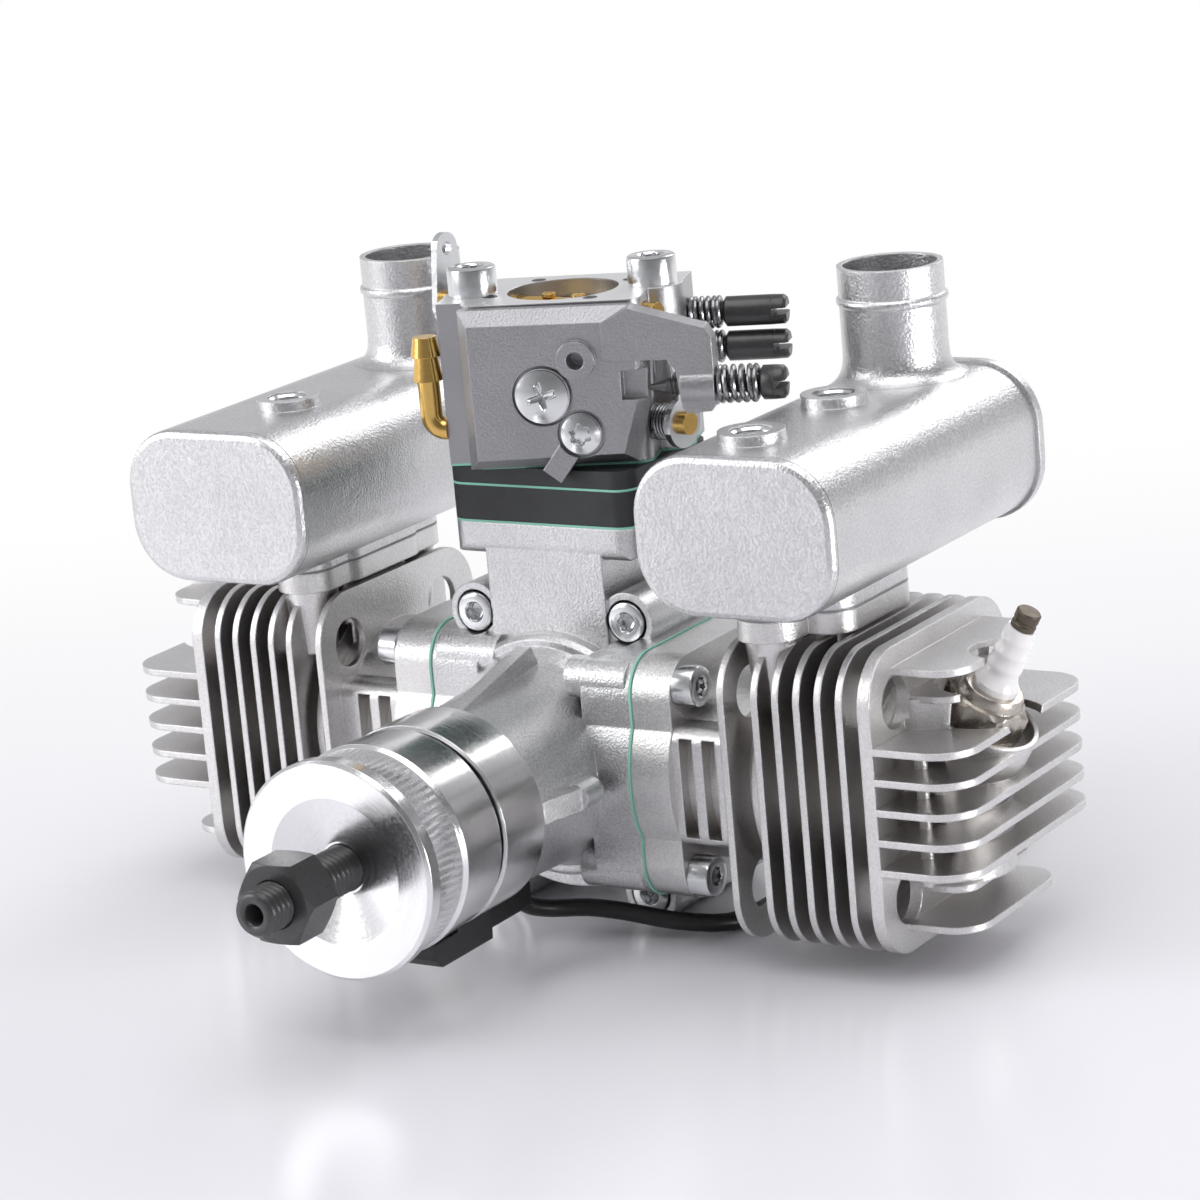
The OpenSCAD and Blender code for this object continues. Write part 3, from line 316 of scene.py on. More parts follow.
# How much smoother and rougher than the given roughness the surface gets
GLOSS_LESS, GLOSS_MORE = 0.05, 0.07
# Reach of the painted shade in recesses, a darker tint found by ambient occlusion, the openness between which
# it fades, and its share at most
PAINTED_SHADE_REACH = 7.0
PAINTED_SHADE_SPAN = (0.05, 0.6)
PAINTED_SHADE_SHARE = 0.6
# Distances from a seam between which its dark line fades, the line's share and its shade
SEAM_SPAN = (0.06 * MM, 0.14 * MM)
SEAM_SHARE, SEAM_SHADE = 0.75, 0.25
# Upward lean and depth under the top between which a face turns into milled metal
LEVEL_SPAN = (0.9, 0.95)
TOP_DEPTHS = (0.3, 0.2)
MILLED_WHITE = (0.9, 0.9, 0.9)


def turning_marks(g, place, bsdf, scale):
    """Fine rings round the crank's axis, and gloss drawn along them."""
    x, y, z = g.split(place)
    flat = g.new("CombineXYZ")
    g.put(flat, "X", x)
    g.put(flat, "Z", z)
    far = g.new("VectorMath", operation="LENGTH")
    g.put(far, 0, flat.outputs["Vector"])
    pair = g.new("CombineXYZ")
    g.put(pair, "X", far.outputs["Value"])
    g.put(pair, "Y", y)
    tangent = g.new("Tangent", direction_type="RADIAL", axis="Y")
    g.put(bsdf, "Tangent", tangent.outputs["Tangent"])
    return g.noise(pair.outputs["Vector"], scale, 1.0)


def finish(name, color, metallic=1.0, rough=0.4, grain=1800.0, bump=0.15, spread=0.06, coat=0.0, aniso=0.0,
           marks=0.0, wave=0.0, edge=0.0, painted_shade=None, seam=None, top=None, speckle=0.0):
    """Procedural surface with fine grain, cloudy tint and uneven gloss.

    marks adds turning marks of that scale, wave slow dents, edge rounds corners by that radius, the recess
    tint darkens recesses as painted shade, seam darkens a thin line at that depth, top brightens level faces
    at that height, and speckle darkens single grains.
    """
    mat = bpy.data.materials.new(name)
    mat.use_nodes = True
    g = Graph(mat.node_tree)
    out = g.new("OutputMaterial")
    bsdf = g.new("BsdfPrincipled")
    g.put(out, "Surface", bsdf.outputs["BSDF"])
    g.put(bsdf, "Metallic", metallic)
    g.put(bsdf, "Coat Weight", coat)
    g.put(bsdf, "Anisotropic", aniso)
    place = g.new("TexCoord").outputs["Object"]
    fine = g.noise(place, grain)

    dark = [c * (1 - spread) for c in color]
    light = [min(1.0, c * (1 + spread * 0.6)) for c in color]
    tint = g.mixed(g.ramp(g.noise(place, CLOUD_SCALE, 3.0), *CLOUD_SPAN, 0.0, 1.0), dark, light)
    # Painted shade: the colour turns towards the given dark tint wherever ambient occlusion finds a recess
    if painted_shade:
        hollow = g.new("AmbientOcclusion", samples=6)
        g.put(hollow, "Distance", PAINTED_SHADE_REACH * MM)
        tint = g.mixed(g.ramp(hollow.outputs["AO"], *PAINTED_SHADE_SPAN, PAINTED_SHADE_SHARE, 0.0), tint, painted_shade)
    if seam is not None:
        y = g.split(place)[1]
        off = g.maths("ABSOLUTE", g.maths("SUBTRACT", y, (seam - REAR) * MM, clamp=False), 0.0)
        tint = g.mixed(g.ramp(off, *SEAM_SPAN, SEAM_SHARE, 0.0), tint, [c * SEAM_SHADE for c in color])
    if speckle:
        tint = g.mixed(g.ramp(fine, *SPECKLE_SPAN, speckle, 0.0), tint, [c * SPECKLE_SHADE for c in color])
    if top is not None:
        facing = g.split(g.new("NewGeometry").outputs["Normal"])[2]
        z = g.split(place)[2]
        high = g.ramp(z, *[(top - depth) * MM for depth in TOP_DEPTHS], 0.0, 1.0)
        level = g.maths("MULTIPLY", g.ramp(facing, *LEVEL_SPAN, 0.0, 1.0), high)
        tint = g.mixed(level, tint, MILLED_WHITE)
    g.put(bsdf, "Base Color", tint)
    g.put(bsdf, "Roughness", g.ramp(fine, *GLOSS_SPAN, rough - GLOSS_LESS, rough + GLOSS_MORE))

    height = turning_marks(g, place, bsdf, marks) if marks else fine
    under = None
    if edge:
        bevel = g.new("Bevel", samples=4)
        g.put(bevel, "Radius", edge * MM)
        under = bevel.outputs["Normal"]
    if wave:
        under = g.bump(g.noise(place, WAVE_SCALE, 3.0), wave, WAVE_DEPTH, under)
    g.put(bsdf, "Normal", g.bump(height, bump, GRAIN_DEPTH, under))
    return mat


CAP_SEAM = -31.6

# The dark, brownish recess tints given to the cast parts and the fins are painted shade
cast = finish("cast_metal", (0.76, 0.76, 0.77), rough=0.34, grain=2600, bump=1.0, wave=0.14, edge=0.45,
              painted_shade=(0.36, 0.35, 0.35), speckle=0.28)
fins = finish("fin_metal", (0.80, 0.79, 0.785), rough=0.35, grain=2600, bump=0.7, spread=0.05, wave=0.08,
              edge=0.4, painted_shade=(0.36, 0.32, 0.30), speckle=0.18)
can = finish("can_metal", (0.77, 0.77, 0.78), rough=0.34, grain=2200, bump=1.0, spread=0.04, wave=0.22,
             edge=0.4, seam=CAP_SEAM, speckle=0.22)
turned_metal = finish("turned_metal", (0.88, 0.88, 0.89), rough=0.16, bump=0.1, spread=0.02, aniso=0.6,
                      marks=9000, edge=0.2)
steel = finish("zinc_steel", (0.74, 0.75, 0.76), rough=0.2, grain=900, bump=0.04, spread=0.08)
spring_steel = finish("spring_steel", (0.30, 0.30, 0.31), rough=0.26, grain=900, bump=0.04, spread=0.1)
plate_metal = finish("plate_metal", (0.86, 0.70, 0.48), rough=0.38, grain=2200, bump=0.3)
knurled = finish("knurled_metal", (0.74, 0.74, 0.755), rough=0.3, grain=2600, bump=0.2)
inner_steel = finish("inner_steel", (0.5, 0.5, 0.51), rough=0.3, grain=1800, bump=0.05, spread=0.08)
black_steel = finish("black_oxide", (0.085, 0.083, 0.085), metallic=0.6, rough=0.32, grain=2200, bump=0.2,
                     spread=0.3, edge=0.2)
carb_cast = finish("carb_casting", (0.43, 0.43, 0.445), metallic=0.95, rough=0.38, grain=2600, bump=0.9,
                   spread=0.05, wave=0.1, edge=0.35, speckle=0.16)
carb_milled = finish("carb_milled", (0.42, 0.42, 0.435), metallic=0.95, rough=0.34, grain=4200, bump=0.6,
                     wave=0.08, edge=0.35, top=CARB_TOP)
brass = finish("brass", (0.80, 0.52, 0.16), rough=0.18, grain=1500, bump=0.06, spread=0.12, edge=0.15)
moulded = finish("moulded_plastic", (0.014, 0.014, 0.015), metallic=0.0, rough=0.36, grain=1500,
                 spread=0.2, edge=0.6)
block = finish("insulating_block", (0.03, 0.032, 0.034), metallic=0.0, rough=0.45, grain=1300, bump=0.3,
               spread=0.3, wave=0.1, edge=0.3)
fibre = finish("gasket_fibre", (0.30, 0.68, 0.53), metallic=0.0, rough=0.6, grain=3000, bump=0.3, spread=0.12)
graphite = finish("graphite_sheet", (0.30, 0.30, 0.31), metallic=0.6, rough=0.5, grain=2600, bump=0.3,
                  spread=0.12)
ceramic = finish("glazed_ceramic", (0.95, 0.93, 0.93), metallic=0.0, rough=0.16, grain=400, bump=0.02,
                 spread=0.02, coat=0.7)
oxidised = finish("oxidised_steel", (0.115, 0.095, 0.075), metallic=0.85, rough=0.42, grain=900, bump=0.1,
                  spread=0.3)
plug_plated = finish("plug_plating", (0.50, 0.46, 0.41), rough=0.3, grain=1500, bump=0.1, spread=0.15,
                     edge=0.25)
rubber = finish("cable_rubber", (0.012, 0.012, 0.013), metallic=0.0, rough=0.4, grain=2500, bump=0.2,
                spread=0.3)

LOOK_OF = {
    cast: ["crankcase_front", "crankcase_rear"],
    fins: ["cylinder_right", "cylinder_left"],
    can: ["muffler_right", "muffler_left", "muffler_end_caps"],
    turned_metal: ["sensor_ring", "prop_hub", "prop_washer", "piston_right", "piston_left"],
    steel: ["case_screws", "base_bolts", "muffler_bolts", "cover_screws", "carb_mount_screws",
            "throttle_lever", "choke_lever", "reed_petals"],
    plug_plated: ["plug_shells"],
    spring_steel: ["carb_springs"],
    inner_steel: ["main_bearings", "crankshaft_front", "crank_center_web", "crankshaft_rear",
                  "trigger_magnet", "piston_rings_right", "piston_rings_left", "wrist_pin_right",
                  "wrist_pin_left", "rod_right", "rod_left", "reed_cage"],
    black_steel: ["prop_stud", "prop_nut", "idle_screw", "high_needle", "low_needle"],
    carb_cast: ["carb_front_cover", "carb_rear_cover"],
    carb_milled: ["carb_body"],
    brass: ["fuel_elbow", "throttle_shaft", "choke_shaft"],
    plate_metal: ["throttle_plate", "choke_plate"],
    oxidised: ["plug_terminals"],
    moulded: ["sensor_block", "cable_plug"],
    block: ["lower_spacer", "upper_spacer"],
    fibre: ["base_gaskets", "intake_gaskets"],
    graphite: ["exhaust_gaskets"],
    ceramic: ["plug_insulators"],
    rubber: ["sensor_cable", "cable_coil", "shaft_seal"],
}
for mat, names in LOOK_OF.items():
    for name in names:
        data = nodes[name].data
        data.materials.clear()
        data.materials.append(mat)


def dress(ob, mat, body):
    ob.data.materials.clear()
    ob.data.materials.append(mat)
    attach(ob, body)


# Sensor lead: the route of the solids, then a turn and a half of coil up to the connector

LEAD_R = 1.6
COIL_R = 17.6
COIL_X = 30.0
COIL_Y = 62.0
COIL_TURN = 3 * math.pi - 0.42
COIL_STEPS = 25
# The coil climbs over its own start: where in its turns the climb begins, and how much of a turn it takes.
CLIMB_START = 0.82
CLIMB_SHARE = 0.3
LEAD_POINTS = [(0, -30.6, -19.2), (0, -29.9, -19.3), (0.4, -28.6, -20.4), (1.4, -26.4, -22.7),
               (3.4, -22.6, -24.2), (8, -18.6, -24.9), (15, -17.8, -25.2), (24, -15.8, -26.6), (31, -10, -28),
               (33, 0, -28.1), (32, 12, -28.1), (29, 26, -28.1), (21, 37, -28.1), (14, 45, -28.1),
               (11.9, 52, -28.1), (12, 57, -28.1), (12.4, 62, -28.1)]


def spline(points, i, t):
    """Point on the smooth curve through points, at t between points i and i + 1."""
    last = len(points) - 1
    a, b, c, d = [Vector(points[min(max(i + k, 0), last)]) for k in (-1, 0, 1, 2)]
    bend = (2 * a - 5 * b + 4 * c - d) * t * t
    twist = (3 * b - a - 3 * c + d) * t ** 3
    return 0.5 * (2 * b + (c - a) * t + bend + twist)


def lead_route():
    route = [spline(LEAD_POINTS, i, t) for i in range(len(LEAD_POINTS) - 1) for t in (0, 0.34, 0.68)]
    route.append(Vector(LEAD_POINTS[-1]))
    for i in range(1, COIL_STEPS + 1):
        a = math.pi - COIL_TURN * i / COIL_STEPS
        climb = min(max(((math.pi - a) / (2 * math.pi) - CLIMB_START) / CLIMB_SHARE, 0.0), 1.0)
        z = FLOOR + LEAD_R + 0.02 + 2 * LEAD_R * (3 * climb ** 2 - 2 * climb ** 3)
        route.append(Vector((COIL_X + COIL_R * math.cos(a), COIL_Y + COIL_R * math.sin(a), z)))
    return [at(*p) for p in route]


path = lead_route()
lead = join([sweep(path, LEAD_R * MM, 12)], "sensor_lead")
dress(lead, rubber, "root")
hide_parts("sensor_cable", "cable_coil")


# Propeller stud and nut

STUD_START = 61.2
STUD_END = 100.4
STUD_CORE, STUD_CREST, STUD_PITCH = 3.42, 3.98, 1.25
CENTRE_HOLE_R, CENTRE_HOLE_DEPTH = 1.7, 3.6
NUT_REAR = 87.4
NUT_FLATS, NUT_HEIGHT, NUT_BORE = 13.0, 7.6, 3.5


def thread(origin, axis, length, core, crest, pitch, segs=40, bore=0.0, bore_depth=0.0):
    """Screw thread as one ridge round a core, with a chamfered end and an optional centre hole."""
    axes = frame_of(axis)
    per_turn = 8
    rows = []
    for i in range(int(length / pitch * per_turn) + 1):
        along = i / per_turn * pitch
        end_r = core - 0.2 + max(0.0, length - along) * 0.9
        row = []
        for k, a in enumerate(full_turn(segs)):
            phase = (along / pitch - k / segs) % 1.0
            ridge = max(0.0, 1 - abs(phase - 0.5) / 0.42) ** 0.8
            row.append(round_point(origin, axes, min(core + (crest - core) * ridge, end_r), along, a))
        rows.append(row)
    if bore:
        floor = length - bore_depth
        hole = ((bore + 0.35, length), (bore, length - 0.4), (bore, floor), (0.05, floor - bore))
        for radius, along in hole:
            rows.append(circle(origin, axes, radius, along, segs))
    return rings(rows, False)


def nut(origin, axis, flats, height, bore):
    """Hexagon nut, its corners chamfered and its bore countersunk; origin in its rear face."""
    face_r = flats / 2 * 0.985
    sink = 0.6
    sink_depth = 0.9
    slope = 0.577
    axes = frame_of(axis, (0, 0, 1))
    segs = 96

    def corners(face, inward):
        row = []
        for a in full_turn(segs):
            r = hexagon(flats, a)
            row.append(round_point(origin, axes, r, face + inward * max(0.0, r - face_r) * slope, a))
        return row

    def plain(radius, along):
        return circle(origin, axes, radius, along, segs)

    rows = [plain(bore, sink_depth), plain(bore + sink, 0), plain(face_r, 0), corners(0, 1),
            corners(height, -1), plain(face_r, height), plain(bore + sink, height),
            plain(bore, height - sink_depth), plain(bore, sink_depth)]
    return rings(rows, False, False)


stud = join([thread(at(0, -STUD_START, 0), FRONT, STUD_END - STUD_START, STUD_CORE, STUD_CREST, STUD_PITCH,
                    bore=CENTRE_HOLE_R, bore_depth=CENTRE_HOLE_DEPTH)], "prop_stud_thread", 60)
dress(stud, black_steel, "crank")
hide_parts("prop_stud")
nut_piece = join([nut(at(0, -NUT_REAR, 0), FRONT, NUT_FLATS, NUT_HEIGHT, NUT_BORE)], "prop_nut_chamfered", 25)
dress(nut_piece, black_steel, "crank")
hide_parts("prop_nut")


# Flutes round the hub's cone, deeper towards its front end

FLUTES = 82
FLUTE_STEPS = 12
FLUTE_DEPTH = 0.5
# Share of the depth at the cone's rear, and how fast it grows from there
FLUTE_START, FLUTE_GROWTH = 0.12, 1.25
FLUTE_ROWS = 8
CONE_START, CONE_LENGTH = 67.7, 7.1
CONE_R, CONE_TAPER = 17.36, 1.0


def fluted():
    rows = []
    count = FLUTES * FLUTE_STEPS
    for i in range(FLUTE_ROWS + 1):
        t = i / FLUTE_ROWS
        y = -(CONE_START + CONE_LENGTH * t)
        foot_r = CONE_R - CONE_TAPER * t + 0.03
        depth = FLUTE_DEPTH * (FLUTE_START + (1 - FLUTE_START) * min(1.0, t * FLUTE_GROWTH))
        row = []
        for k, a in enumerate(full_turn(count)):
            off = abs((k / FLUTE_STEPS) % 1.0 - 0.5) * 2
            r = foot_r + depth * (1 - off) ** (1.0 - 0.3 * t)
            row.append(at(r * math.cos(a), y, r * math.sin(a)))
        rows.append(row)
    return rings(rows, False, False)


flutes = join([fluted()], "hub_flutes", 50)
dress(flutes, knurled, "crank")


# Socket screws: a head is its radius, its height and its socket's width

M4_HEAD, M4_SHANK_R = (3.5, 4.0, 3.0), 2.0
M5_HEAD, M5_SHANK_R = (4.25, 5.0, 4.0), 2.5
CASE_SCREW_X, CASE_SCREW_Y, CASE_SCREW_HEIGHTS = 15.4, -6.5, (24.0, -24.6)
CASE_SHANK = 22.5
BASE_BOLT_X, BASE_BOLT_Y, BASE_BOLT_Z = 30.8, 14.6, 16.6
BASE_SHANK = 17.0
TOP_SCREW_X, TOP_SHANK = 15.5, 40.0

case_heads = [cap_screw(at(side * CASE_SCREW_X, CASE_SCREW_Y, z), FRONT, *M4_HEAD, CASE_SHANK, M4_SHANK_R, UP)
              for side in SIDES for z in CASE_SCREW_HEIGHTS]
base_heads = []
for side in SIDES:
    for sy in SIDES:
        for sz in SIDES:
            place = at(side * BASE_BOLT_X, -side * STAGGER / 2 + sy * BASE_BOLT_Y, sz * BASE_BOLT_Z)
            base_heads.append(cap_screw(place, (side, 0, 0), *M4_HEAD, BASE_SHANK, M4_SHANK_R, (0, 0.3, 1)))
top_heads = [cap_screw(turned(SCREW_YAW, side * TOP_SCREW_X, 0, CARB_TOP), UP, *M5_HEAD, TOP_SHANK,
                       M5_SHANK_R, (1, 0.2 * side, 0)) for side in SIDES]
for heads, name, node in ((case_heads, "case_screw_set", "case_screws"),
                          (base_heads, "base_bolt_set", "base_bolts"),
                          (top_heads, "carb_screw_set", "carb_mount_screws")):
    piece = join(heads, name)
    dress(piece, steel, "root")
    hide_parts(node)


# Cover screws

CROSS_BAR = 0.52
CROSS_SHARE = 0.52
CROSS_EDGE, CROSS_RIM_DEPTH, CROSS_DEPTH = 0.25, 0.45, 1.1
LOBES, LOBE_R, LOBE_WAVE, LOBE_EDGE, LOBE_DEPTH = 6, 1.7, 0.3, 0.2, 1.1
DOME_ROWS = 28
PAN_SHANK, PAN_SHANK_R = 3.5, 1.45
# Each screw's place on the cover, its radius and height, whether its recess is lobed, and its turn
COVER_SCREWS = (((-1, COVER_FRONT + 1.4, 63.7), 4.7, 2.6, False, 0.25),
                ((5.1, COVER_FRONT + 1.2, 57.0), 3.5, 2.2, True, 0.1))


def cross_sink(r, x, y, radius):
    """Depth of a cross recess, whose bars reach over a share of the head's radius r."""
    reach = r * CROSS_SHARE
    inside = max(min(CROSS_BAR - abs(x), reach - abs(y)), min(CROSS_BAR - abs(y), reach - abs(x)))
    depth = CROSS_RIM_DEPTH + CROSS_DEPTH * (1 - min(radius / reach, 1.0))
    return min(max(inside / CROSS_EDGE, 0.0), 1.0) * depth


def lobed_sink(angle, radius):
    """Depth of a recess with lobes."""
    inside = LOBE_R + LOBE_WAVE * math.cos(LOBES * angle) - radius
    return min(max(inside / LOBE_EDGE, 0.0), 1.0) * LOBE_DEPTH


def pan_screw(origin, axis, r, h, lobed, turn):
    """Pan head with a cross or a lobed recess, shank behind."""
    axes = frame_of(axis, (0, 0, 1))
    segs = 96
    rows = [circle(origin, axes, radius, along, segs) for radius, along in
            ((0.05, -PAN_SHANK), (PAN_SHANK_R, -PAN_SHANK), (PAN_SHANK_R, 0), (r * 0.96, 0), (r, 0.25))]
    for i in range(DOME_ROWS + 1):
        radius = r * math.cos(math.pi / 2 * i / DOME_ROWS * 0.999)
        dome = h * (0.62 + 0.38 * (1 - (radius / r) ** 2)) if radius < r * 0.97 else h * 0.45
        row = []
        for a in full_turn(segs):
            x, y = radius * math.cos(a - turn), radius * math.sin(a - turn)
            sink = lobed_sink(a - turn, radius) if lobed else cross_sink(r, x, y, radius)
            row.append(round_point(origin, axes, radius, dome - sink, a))
        rows.append(row)
    return rings(rows, False)


pans = [pan_screw(carb(*place), CARB_FRONT, *looks) for place, *looks in COVER_SCREWS]
piece = join(pans, "cover_screw_set", 50)
dress(piece, steel, "root")
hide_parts("cover_screws")


# Springs, needles and idle screw of the carburettor

NEEDLE_Y = 6.4
NEEDLE_Z = {"high_needle": 21.3, "low_needle": 15.3}
NEEDLE_SEAT, NEEDLE_SPRING, NEEDLE_KNOB = 20.4, 5.8, 26.4
IDLE_Y, IDLE_Z = -15.6, 64
IDLE_SEAT, IDLE_SPRING, IDLE_HEAD = 28.7, 7.2, 36
SPRING_TURNS = 5.5
# Radius and wire radius of the springs, in metres
NEEDLE_COIL = (2.45 * MM, 0.42 * MM)
IDLE_COIL = (2.85 * MM, 0.45 * MM)
THROTTLE_COIL = (2.9 * MM, 0.3 * MM)
THROTTLE_TURNS, THROTTLE_FLAT = 6.5, 0.3
THROTTLE_Z, CHOKE_Z = 56.5, 75.0
THROTTLE_SPRING_X = (17.9, 22.3)
THROTTLE_LEG = ((22.2, 1.6, 61.5), (23.4, 2.4, 63.4))
# Knobs: radius, length, half the slot's width and the slot's depth; threads: length, core, crest and pitch
NEEDLE_SHAPE = (2.6, 11.0, 0.55, 2.4)
NEEDLE_STEM = ((1.2, -15), (1.5, -14.5), (1.5, 0))
IDLE_SHAPE = (2.9, 4.4, 0.6, 1.8)
IDLE_THREAD = (16.0, 1.42, 1.69, 0.7)
IDLE_TIP = ((1.3, 15.8), (1.1, 16.6), (0.4, 19))

coils = [helix(carb(NEEDLE_SEAT, NEEDLE_Y, CARB_FOOT + z),
               carb(NEEDLE_SEAT + NEEDLE_SPRING, NEEDLE_Y, CARB_FOOT + z), *NEEDLE_COIL, SPRING_TURNS)
         for z in sorted(NEEDLE_Z.values())]
coils.append(helix(carb(IDLE_SEAT, IDLE_Y, IDLE_Z), carb(IDLE_SEAT + IDLE_SPRING, IDLE_Y, IDLE_Z),
                   *IDLE_COIL, SPRING_TURNS))
springs = join(coils, "carb_spring_wires")
dress(springs, spring_steel, "root")
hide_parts("carb_springs")

torsion = helix(*[shaft(x, 0, THROTTLE_Z) for x in THROTTLE_SPRING_X], *THROTTLE_COIL, THROTTLE_TURNS,
                THROTTLE_FLAT, [shaft(*point) for point in THROTTLE_LEG])
dress(join([torsion], "throttle_spring_wire"), spring_steel, "root")


def half_disc(r, start, side):
    """Outline of one half of a slotted head, counted so that its skin faces outwards."""
    angles = [start + (math.pi - 2 * start) * i / 12 for i in range(13)]
    outline = [(r * math.cos(a), side * r * math.sin(a)) for a in angles]
    return outline if side > 0 else outline[::-1]


def forked(origin, r, length, slot_half, fork):
    """Black knob with a slotted end, turned about the carburettor's sideways direction."""
    foot = length - fork
    parts = [lathe([(r - 0.7, 0), (r, 0.5), (r, foot), (r - 0.05, foot)], origin, CARB_SIDE, 48)]
    for side in SIDES:
        outline = half_disc(r, math.asin(slot_half / r), side)
        rows = []
        for along, shrink in ((foot - 0.2, 1.0), (length - 0.5, 0.97), (length, 0.8)):
            row = []
            for x, y in outline:
                rise = y * shrink if abs(y) > slot_half + 0.01 else y
                row.append(origin + MM * (CARB_SIDE * along + x * shrink * CARB_BACK + rise * UP))
            rows.append(row)
        parts.append(rings(rows))
    return parts


for name, z in NEEDLE_Z.items():
    origin = carb(NEEDLE_KNOB, NEEDLE_Y, CARB_FOOT + z)
    parts = forked(origin, *NEEDLE_SHAPE)
    parts.append(lathe(NEEDLE_STEM, origin, CARB_SIDE, 24))
    piece = join(parts, name + "_knob")
    dress(piece, black_steel, name)
    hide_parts(name)

origin = carb(IDLE_HEAD, IDLE_Y, IDLE_Z)
parts = forked(origin, *IDLE_SHAPE)
parts.append(thread(origin, -CARB_SIDE, *IDLE_THREAD, 24))
parts.append(lathe(IDLE_TIP, origin, -CARB_SIDE, 24))
piece = join(parts, "idle_screw_threaded", 60)
dress(piece, black_steel, "idle_screw")
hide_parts("idle_screw")


# Small screws on the two butterfly plates: their size, and their height over the plate's axis

PLATE_SCREW_R, PLATE_SCREW_H = 1.25, 0.8
PLATE_SCREW_RISE = 1.95
SLOT_ANGLE = 0.16


def slotted(origin, r, h):
    parts = []
    for side in SIDES:
        outline = half_disc(r, SLOT_ANGLE, side)
        rows = [[origin + MM * Vector((x * k, y * k, z)) for x, y in outline]
                for z, k in ((h * 0.4, 1.0), (h * 0.75, 1.0), (h, 0.75))]
        parts.append(rings(rows))
    parts.append(lathe([(r, 0), (r, h * 0.45)], origin, UP, 24))
    return parts


for body, z, gap_x in (("choke", CHOKE_Z, 3.2), ("throttle", THROTTLE_Z, 2.6)):
    parts = []
    for side in SIDES:
        parts += slotted(shaft(side * gap_x, 0, z + PLATE_SCREW_RISE), PLATE_SCREW_R, PLATE_SCREW_H)
    dress(join(parts, body + "_plate_screws"), brass, body)


# Small openings on the top face, round the mouth, drawn as flat black discs of painted shade: their angle and
# their distance from the middle

PORT_R = 1.25
PORTS = ((35, 12.9), (118, 13.4), (205, 12.9), (300, 13.4))
PORT_SQUASH = 0.78

hole_shade_discs = []
for angle, far in PORTS:
    a = math.radians(angle)
    middle = carb(far * math.cos(a), far * math.sin(a) * PORT_SQUASH, CARB_TOP + 0.03)
    # A flat black disc lying on the face: painted shade where the opening's inside would be dark
    hole_shade_discs.append(lathe([(0.05, 0), (PORT_R, 0)], middle, UP, 32, closed=False))
dress(join(hole_shade_discs, "carb_top_hole_shades"), moulded, "root")


# Spark plugs, their distances counted from the seat in the head

PLUG_TILT = math.radians(29)
PLUG_X = 72.9
PLUG_FLATS = 12.7
SHELL = [(3.0, -3), (4.9, -3), (4.9, 9.7), (6.9, 9.7), (7.0, 9.9), (7.0, 10.9), (6.6, 11.1)]
HEXAGON = [(6.2, 11.0), (HEX, 11.0), (HEX, 15.6), (6.3, 16.1), (5.6, 16.3), (5.4, 17.6), (5.0, 18.2),
           (4.0, 18.3)]
INSULATOR = [(3.9, 18.2), (3.9, 19.4), (3.3, 20.2), (2.9, 21.2), (2.86, 22.0), (3.04, 22.6), (3.04, 23.0),
             (2.82, 23.6), (2.78, 24.6), (2.94, 25.2), (2.94, 25.6), (2.72, 26.2), (2.68, 27.2), (2.82, 27.8),
             (2.8, 28.2), (2.6, 28.8), (2.5, 29.7), (2.3, 30.1)]
TERMINAL = [(1.9, 30.05), (2.1, 30.2), (2.1, 30.9), (1.9, 31.1), (1.9, 31.5), (2.1, 31.7), (2.1, 33.0),
            (1.85, 33.28)]


def on_plugs(profile, segs, flats=0.0):
    """The same turned form on both plugs."""
    return [lathe(profile, at(s * PLUG_X, -s * STAGGER / 2, 0),
                  (s * math.sin(PLUG_TILT), 0, math.cos(PLUG_TILT)), segs, flats) for s in SIDES]


for parts, name, mat, slot_name, node in (
        (on_plugs(SHELL, 48) + on_plugs(HEXAGON, 72, PLUG_FLATS), "plug_shell_set", plug_plated, "steel",
         "plug_shells"),
        (on_plugs(INSULATOR, 48), "plug_insulator_set", ceramic, "ceramic", "plug_insulators"),
        (on_plugs(TERMINAL, 40), "plug_terminal_set", oxidised, "terminal_steel", "plug_terminals")):
    piece = join(parts, name)
    dress(piece, mat, "root")
    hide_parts(node)


# Fillets at the foot of the outlet pipes, and threads in the muffler bosses

STACK_X, STACK_Y, STACK_R = 49.5, 29.0, 9.1
MUFFLER_X, MUFFLER_Z = 51.6, 46.2
HALF_X, HALF_Z, CORNER = 18.4, 13.4, 10.5
FILLET_R, FILLET_HEIGHT, FILLET_ROWS = 3.0, 4.2, 8
BOSS_FOOT, BOSS_PITCH, BOSS_ROWS = 58.6, 0.4, 7
BOSS_R, BOSS_THREAD = 3.58, 0.42
BOSSES = ((1, -20.8), (1, 6.6), (-1, -11.9))


def can_top(x):
    """Height of the muffler's top over its round shoulders."""
    over = abs(x - MUFFLER_X) - (HALF_X - CORNER)
    rise = math.sqrt(max(0.0, CORNER ** 2 - over ** 2)) if over > 0 else CORNER
    return MUFFLER_Z + HALF_Z - CORNER + rise


def fillet(side):
    foot_r, bend_r, wall_r = STACK_R + FILLET_R, STACK_R + 0.12, STACK_R + 0.02
    rows = []
    for i in range(FILLET_ROWS + 1):
        t = i / FILLET_ROWS
        row = []
        for a in full_turn(64):
            cx, cy = math.cos(a), math.sin(a)
            wall_foot = can_top(STACK_X + wall_r * cx)
            foot_z = can_top(STACK_X + foot_r * cx) + 0.02
            bend_z = wall_foot + 0.3
            wall_z = wall_foot + FILLET_HEIGHT
            r = (1 - t) ** 2 * foot_r + 2 * t * (1 - t) * bend_r + t * t * wall_r
            z = (1 - t) ** 2 * foot_z + 2 * t * (1 - t) * bend_z + t * t * wall_z
            row.append(at(side * (STACK_X + r * cx), STACK_Y + r * cy, z))
        rows.append(row)
    return rings(rows, False, False)


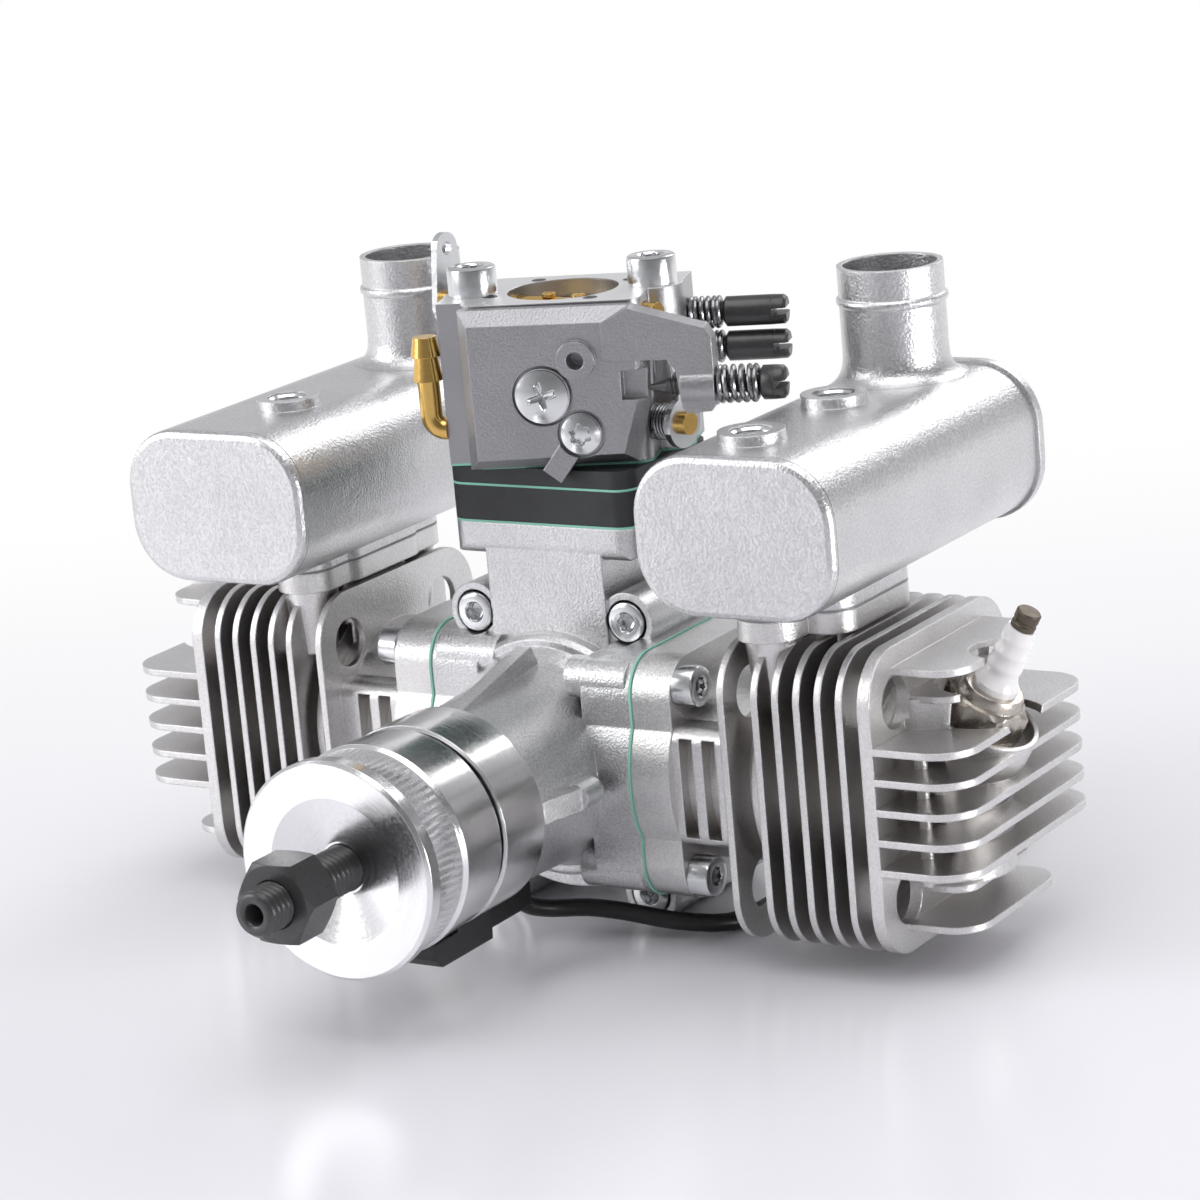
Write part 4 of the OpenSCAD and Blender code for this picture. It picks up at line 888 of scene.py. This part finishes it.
dress(join([fillet(side) for side in SIDES], "stack_fillets", 60), can, "root")
boss_rows = [(BOSS_R - BOSS_THREAD * (i % 2), BOSS_FOOT + BOSS_PITCH * i) for i in range(BOSS_ROWS)]
threads = [lathe(boss_rows, at(side * STACK_X, y, 0), UP, 40, closed=False) for side, y in BOSSES]
dress(join(threads, "boss_threads", 20), steel, "root")


# Stage: a pale floor that turns white behind the object

FLOOR_HALF = 6
AWAY = (-0.55, 0.835, 0)
FLOOR_NEAR = (0.875, 0.865, 0.91)
FLOOR_FAR = (0.92, 0.92, 0.945)
FLOOR_ROUGH = 0.22
WHITE = (1.0, 1.0, 1.0, 1)
# Distances away from the camera, in metres, between which the floor's colour changes and it turns white
TONE_SPAN = (-0.15, 0.15)
WHITE_SPAN = (0.02, 0.32)


def paper():
    mat = bpy.data.materials.new("paper")
    mat.use_nodes = True
    g = Graph(mat.node_tree)
    out = g.new("OutputMaterial")
    bsdf = g.new("BsdfPrincipled")
    distance = g.dot(g.new("TexCoord").outputs["Object"], AWAY)
    tone = g.ramp(distance, *TONE_SPAN, 0.0, 1.0, "SMOOTHSTEP")
    g.put(bsdf, "Base Color", g.mixed(tone, FLOOR_NEAR, FLOOR_FAR))
    g.put(bsdf, "Roughness", FLOOR_ROUGH)
    g.put(bsdf, "Specular IOR Level", 0.5)
    glow = g.new("Emission")
    g.put(glow, "Color", WHITE)
    g.put(glow, "Strength", 1.0)
    rays = g.new("LightPath").outputs
    seen = g.maths("MAXIMUM", rays["Is Camera Ray"], rays["Is Glossy Ray"], clamp=False)
    seen = g.maths("MAXIMUM", seen, rays["Is Transmission Ray"], clamp=False)
    white_there = g.ramp(distance, *WHITE_SPAN, 0.0, 1.0, "SMOOTHSTEP")
    fade = g.new("MixShader")
    g.put(fade, "Fac", g.maths("MULTIPLY", white_there, seen, clamp=False))
    g.put(fade, 1, bsdf.outputs["BSDF"])
    g.put(fade, 2, glow.outputs["Emission"])
    g.put(out, "Surface", fade.outputs["Shader"])
    return mat


ground = mesh_piece("floor", [(x * FLOOR_HALF, y * FLOOR_HALF, FLOOR * MM)
                              for x, y in ((-1, -1), (1, -1), (1, 1), (-1, 1))], [[0, 1, 2, 3]])
ground.data.materials.append(paper())


# Light: a studio that is pale low down, and darker above and to the right front

LOW_LIGHT = (0.86, 0.86, 0.88, 1)
MID_LIGHT = (0.48, 0.48, 0.50, 1)
HIGH_LIGHT = (0.55, 0.55, 0.57, 1)
MID_HEIGHT = 0.45
DARK_SIDE = (0.87, -0.5, 0.0)
# Leans towards the dark side between which the light falls to the dark level
DARK_SPAN = (-0.35, 0.7)
DARK_LEVEL = 0.36


def studio():
    world = bpy.data.worlds.new("studio")
    bpy.context.scene.world = world
    world.use_nodes = True
    g = Graph(world.node_tree)
    out = g.new("OutputWorld")
    direction = g.new("TexCoord").outputs["Generated"]
    shades = g.new("ValToRGB")
    low, high = shades.color_ramp.elements
    low.position, low.color = 0.0, LOW_LIGHT
    high.position, high.color = 1.0, HIGH_LIGHT
    shades.color_ramp.elements.new(MID_HEIGHT).color = MID_LIGHT
    g.put(shades, "Fac", g.split(direction)[2])
    ambient = g.new("Background")
    g.put(ambient, "Color", shades.outputs["Color"])
    g.put(ambient, "Strength", g.ramp(g.dot(direction, DARK_SIDE), *DARK_SPAN, 1.0, DARK_LEVEL))
    g.put(out, "Surface", ambient.outputs["Background"])


def lamp(name, place, target_z, size, size_y, energy):
    """Rectangular lamp in metres and watts, aimed at a height on the upright axis."""
    data = bpy.data.lights.new(name, "AREA")
    data.shape = "RECTANGLE"
    data.size = size
    data.size_y = size_y
    data.energy = energy
    ob = bpy.data.objects.new(name, data)
    bpy.context.scene.collection.objects.link(ob)
    ob.location = place
    ob.rotation_euler = (Vector((0, 0, target_z)) - Vector(place)).to_track_quat("-Z", "Y").to_euler()


studio()
lamp("key", (-1.0, -0.85, 0.6), 0.02, 0.9, 0.9, 8.0)
lamp("right", (0.8, -0.02, -0.01), -0.01, 0.35, 0.25, 4.0)
lamp("back", (0.1, 0.8, 0.62), 0.03, 0.6, 0.4, 2.2)
lamp("top", (0.15, -0.15, 0.8), 0.02, 0.8, 0.7, 3.6)
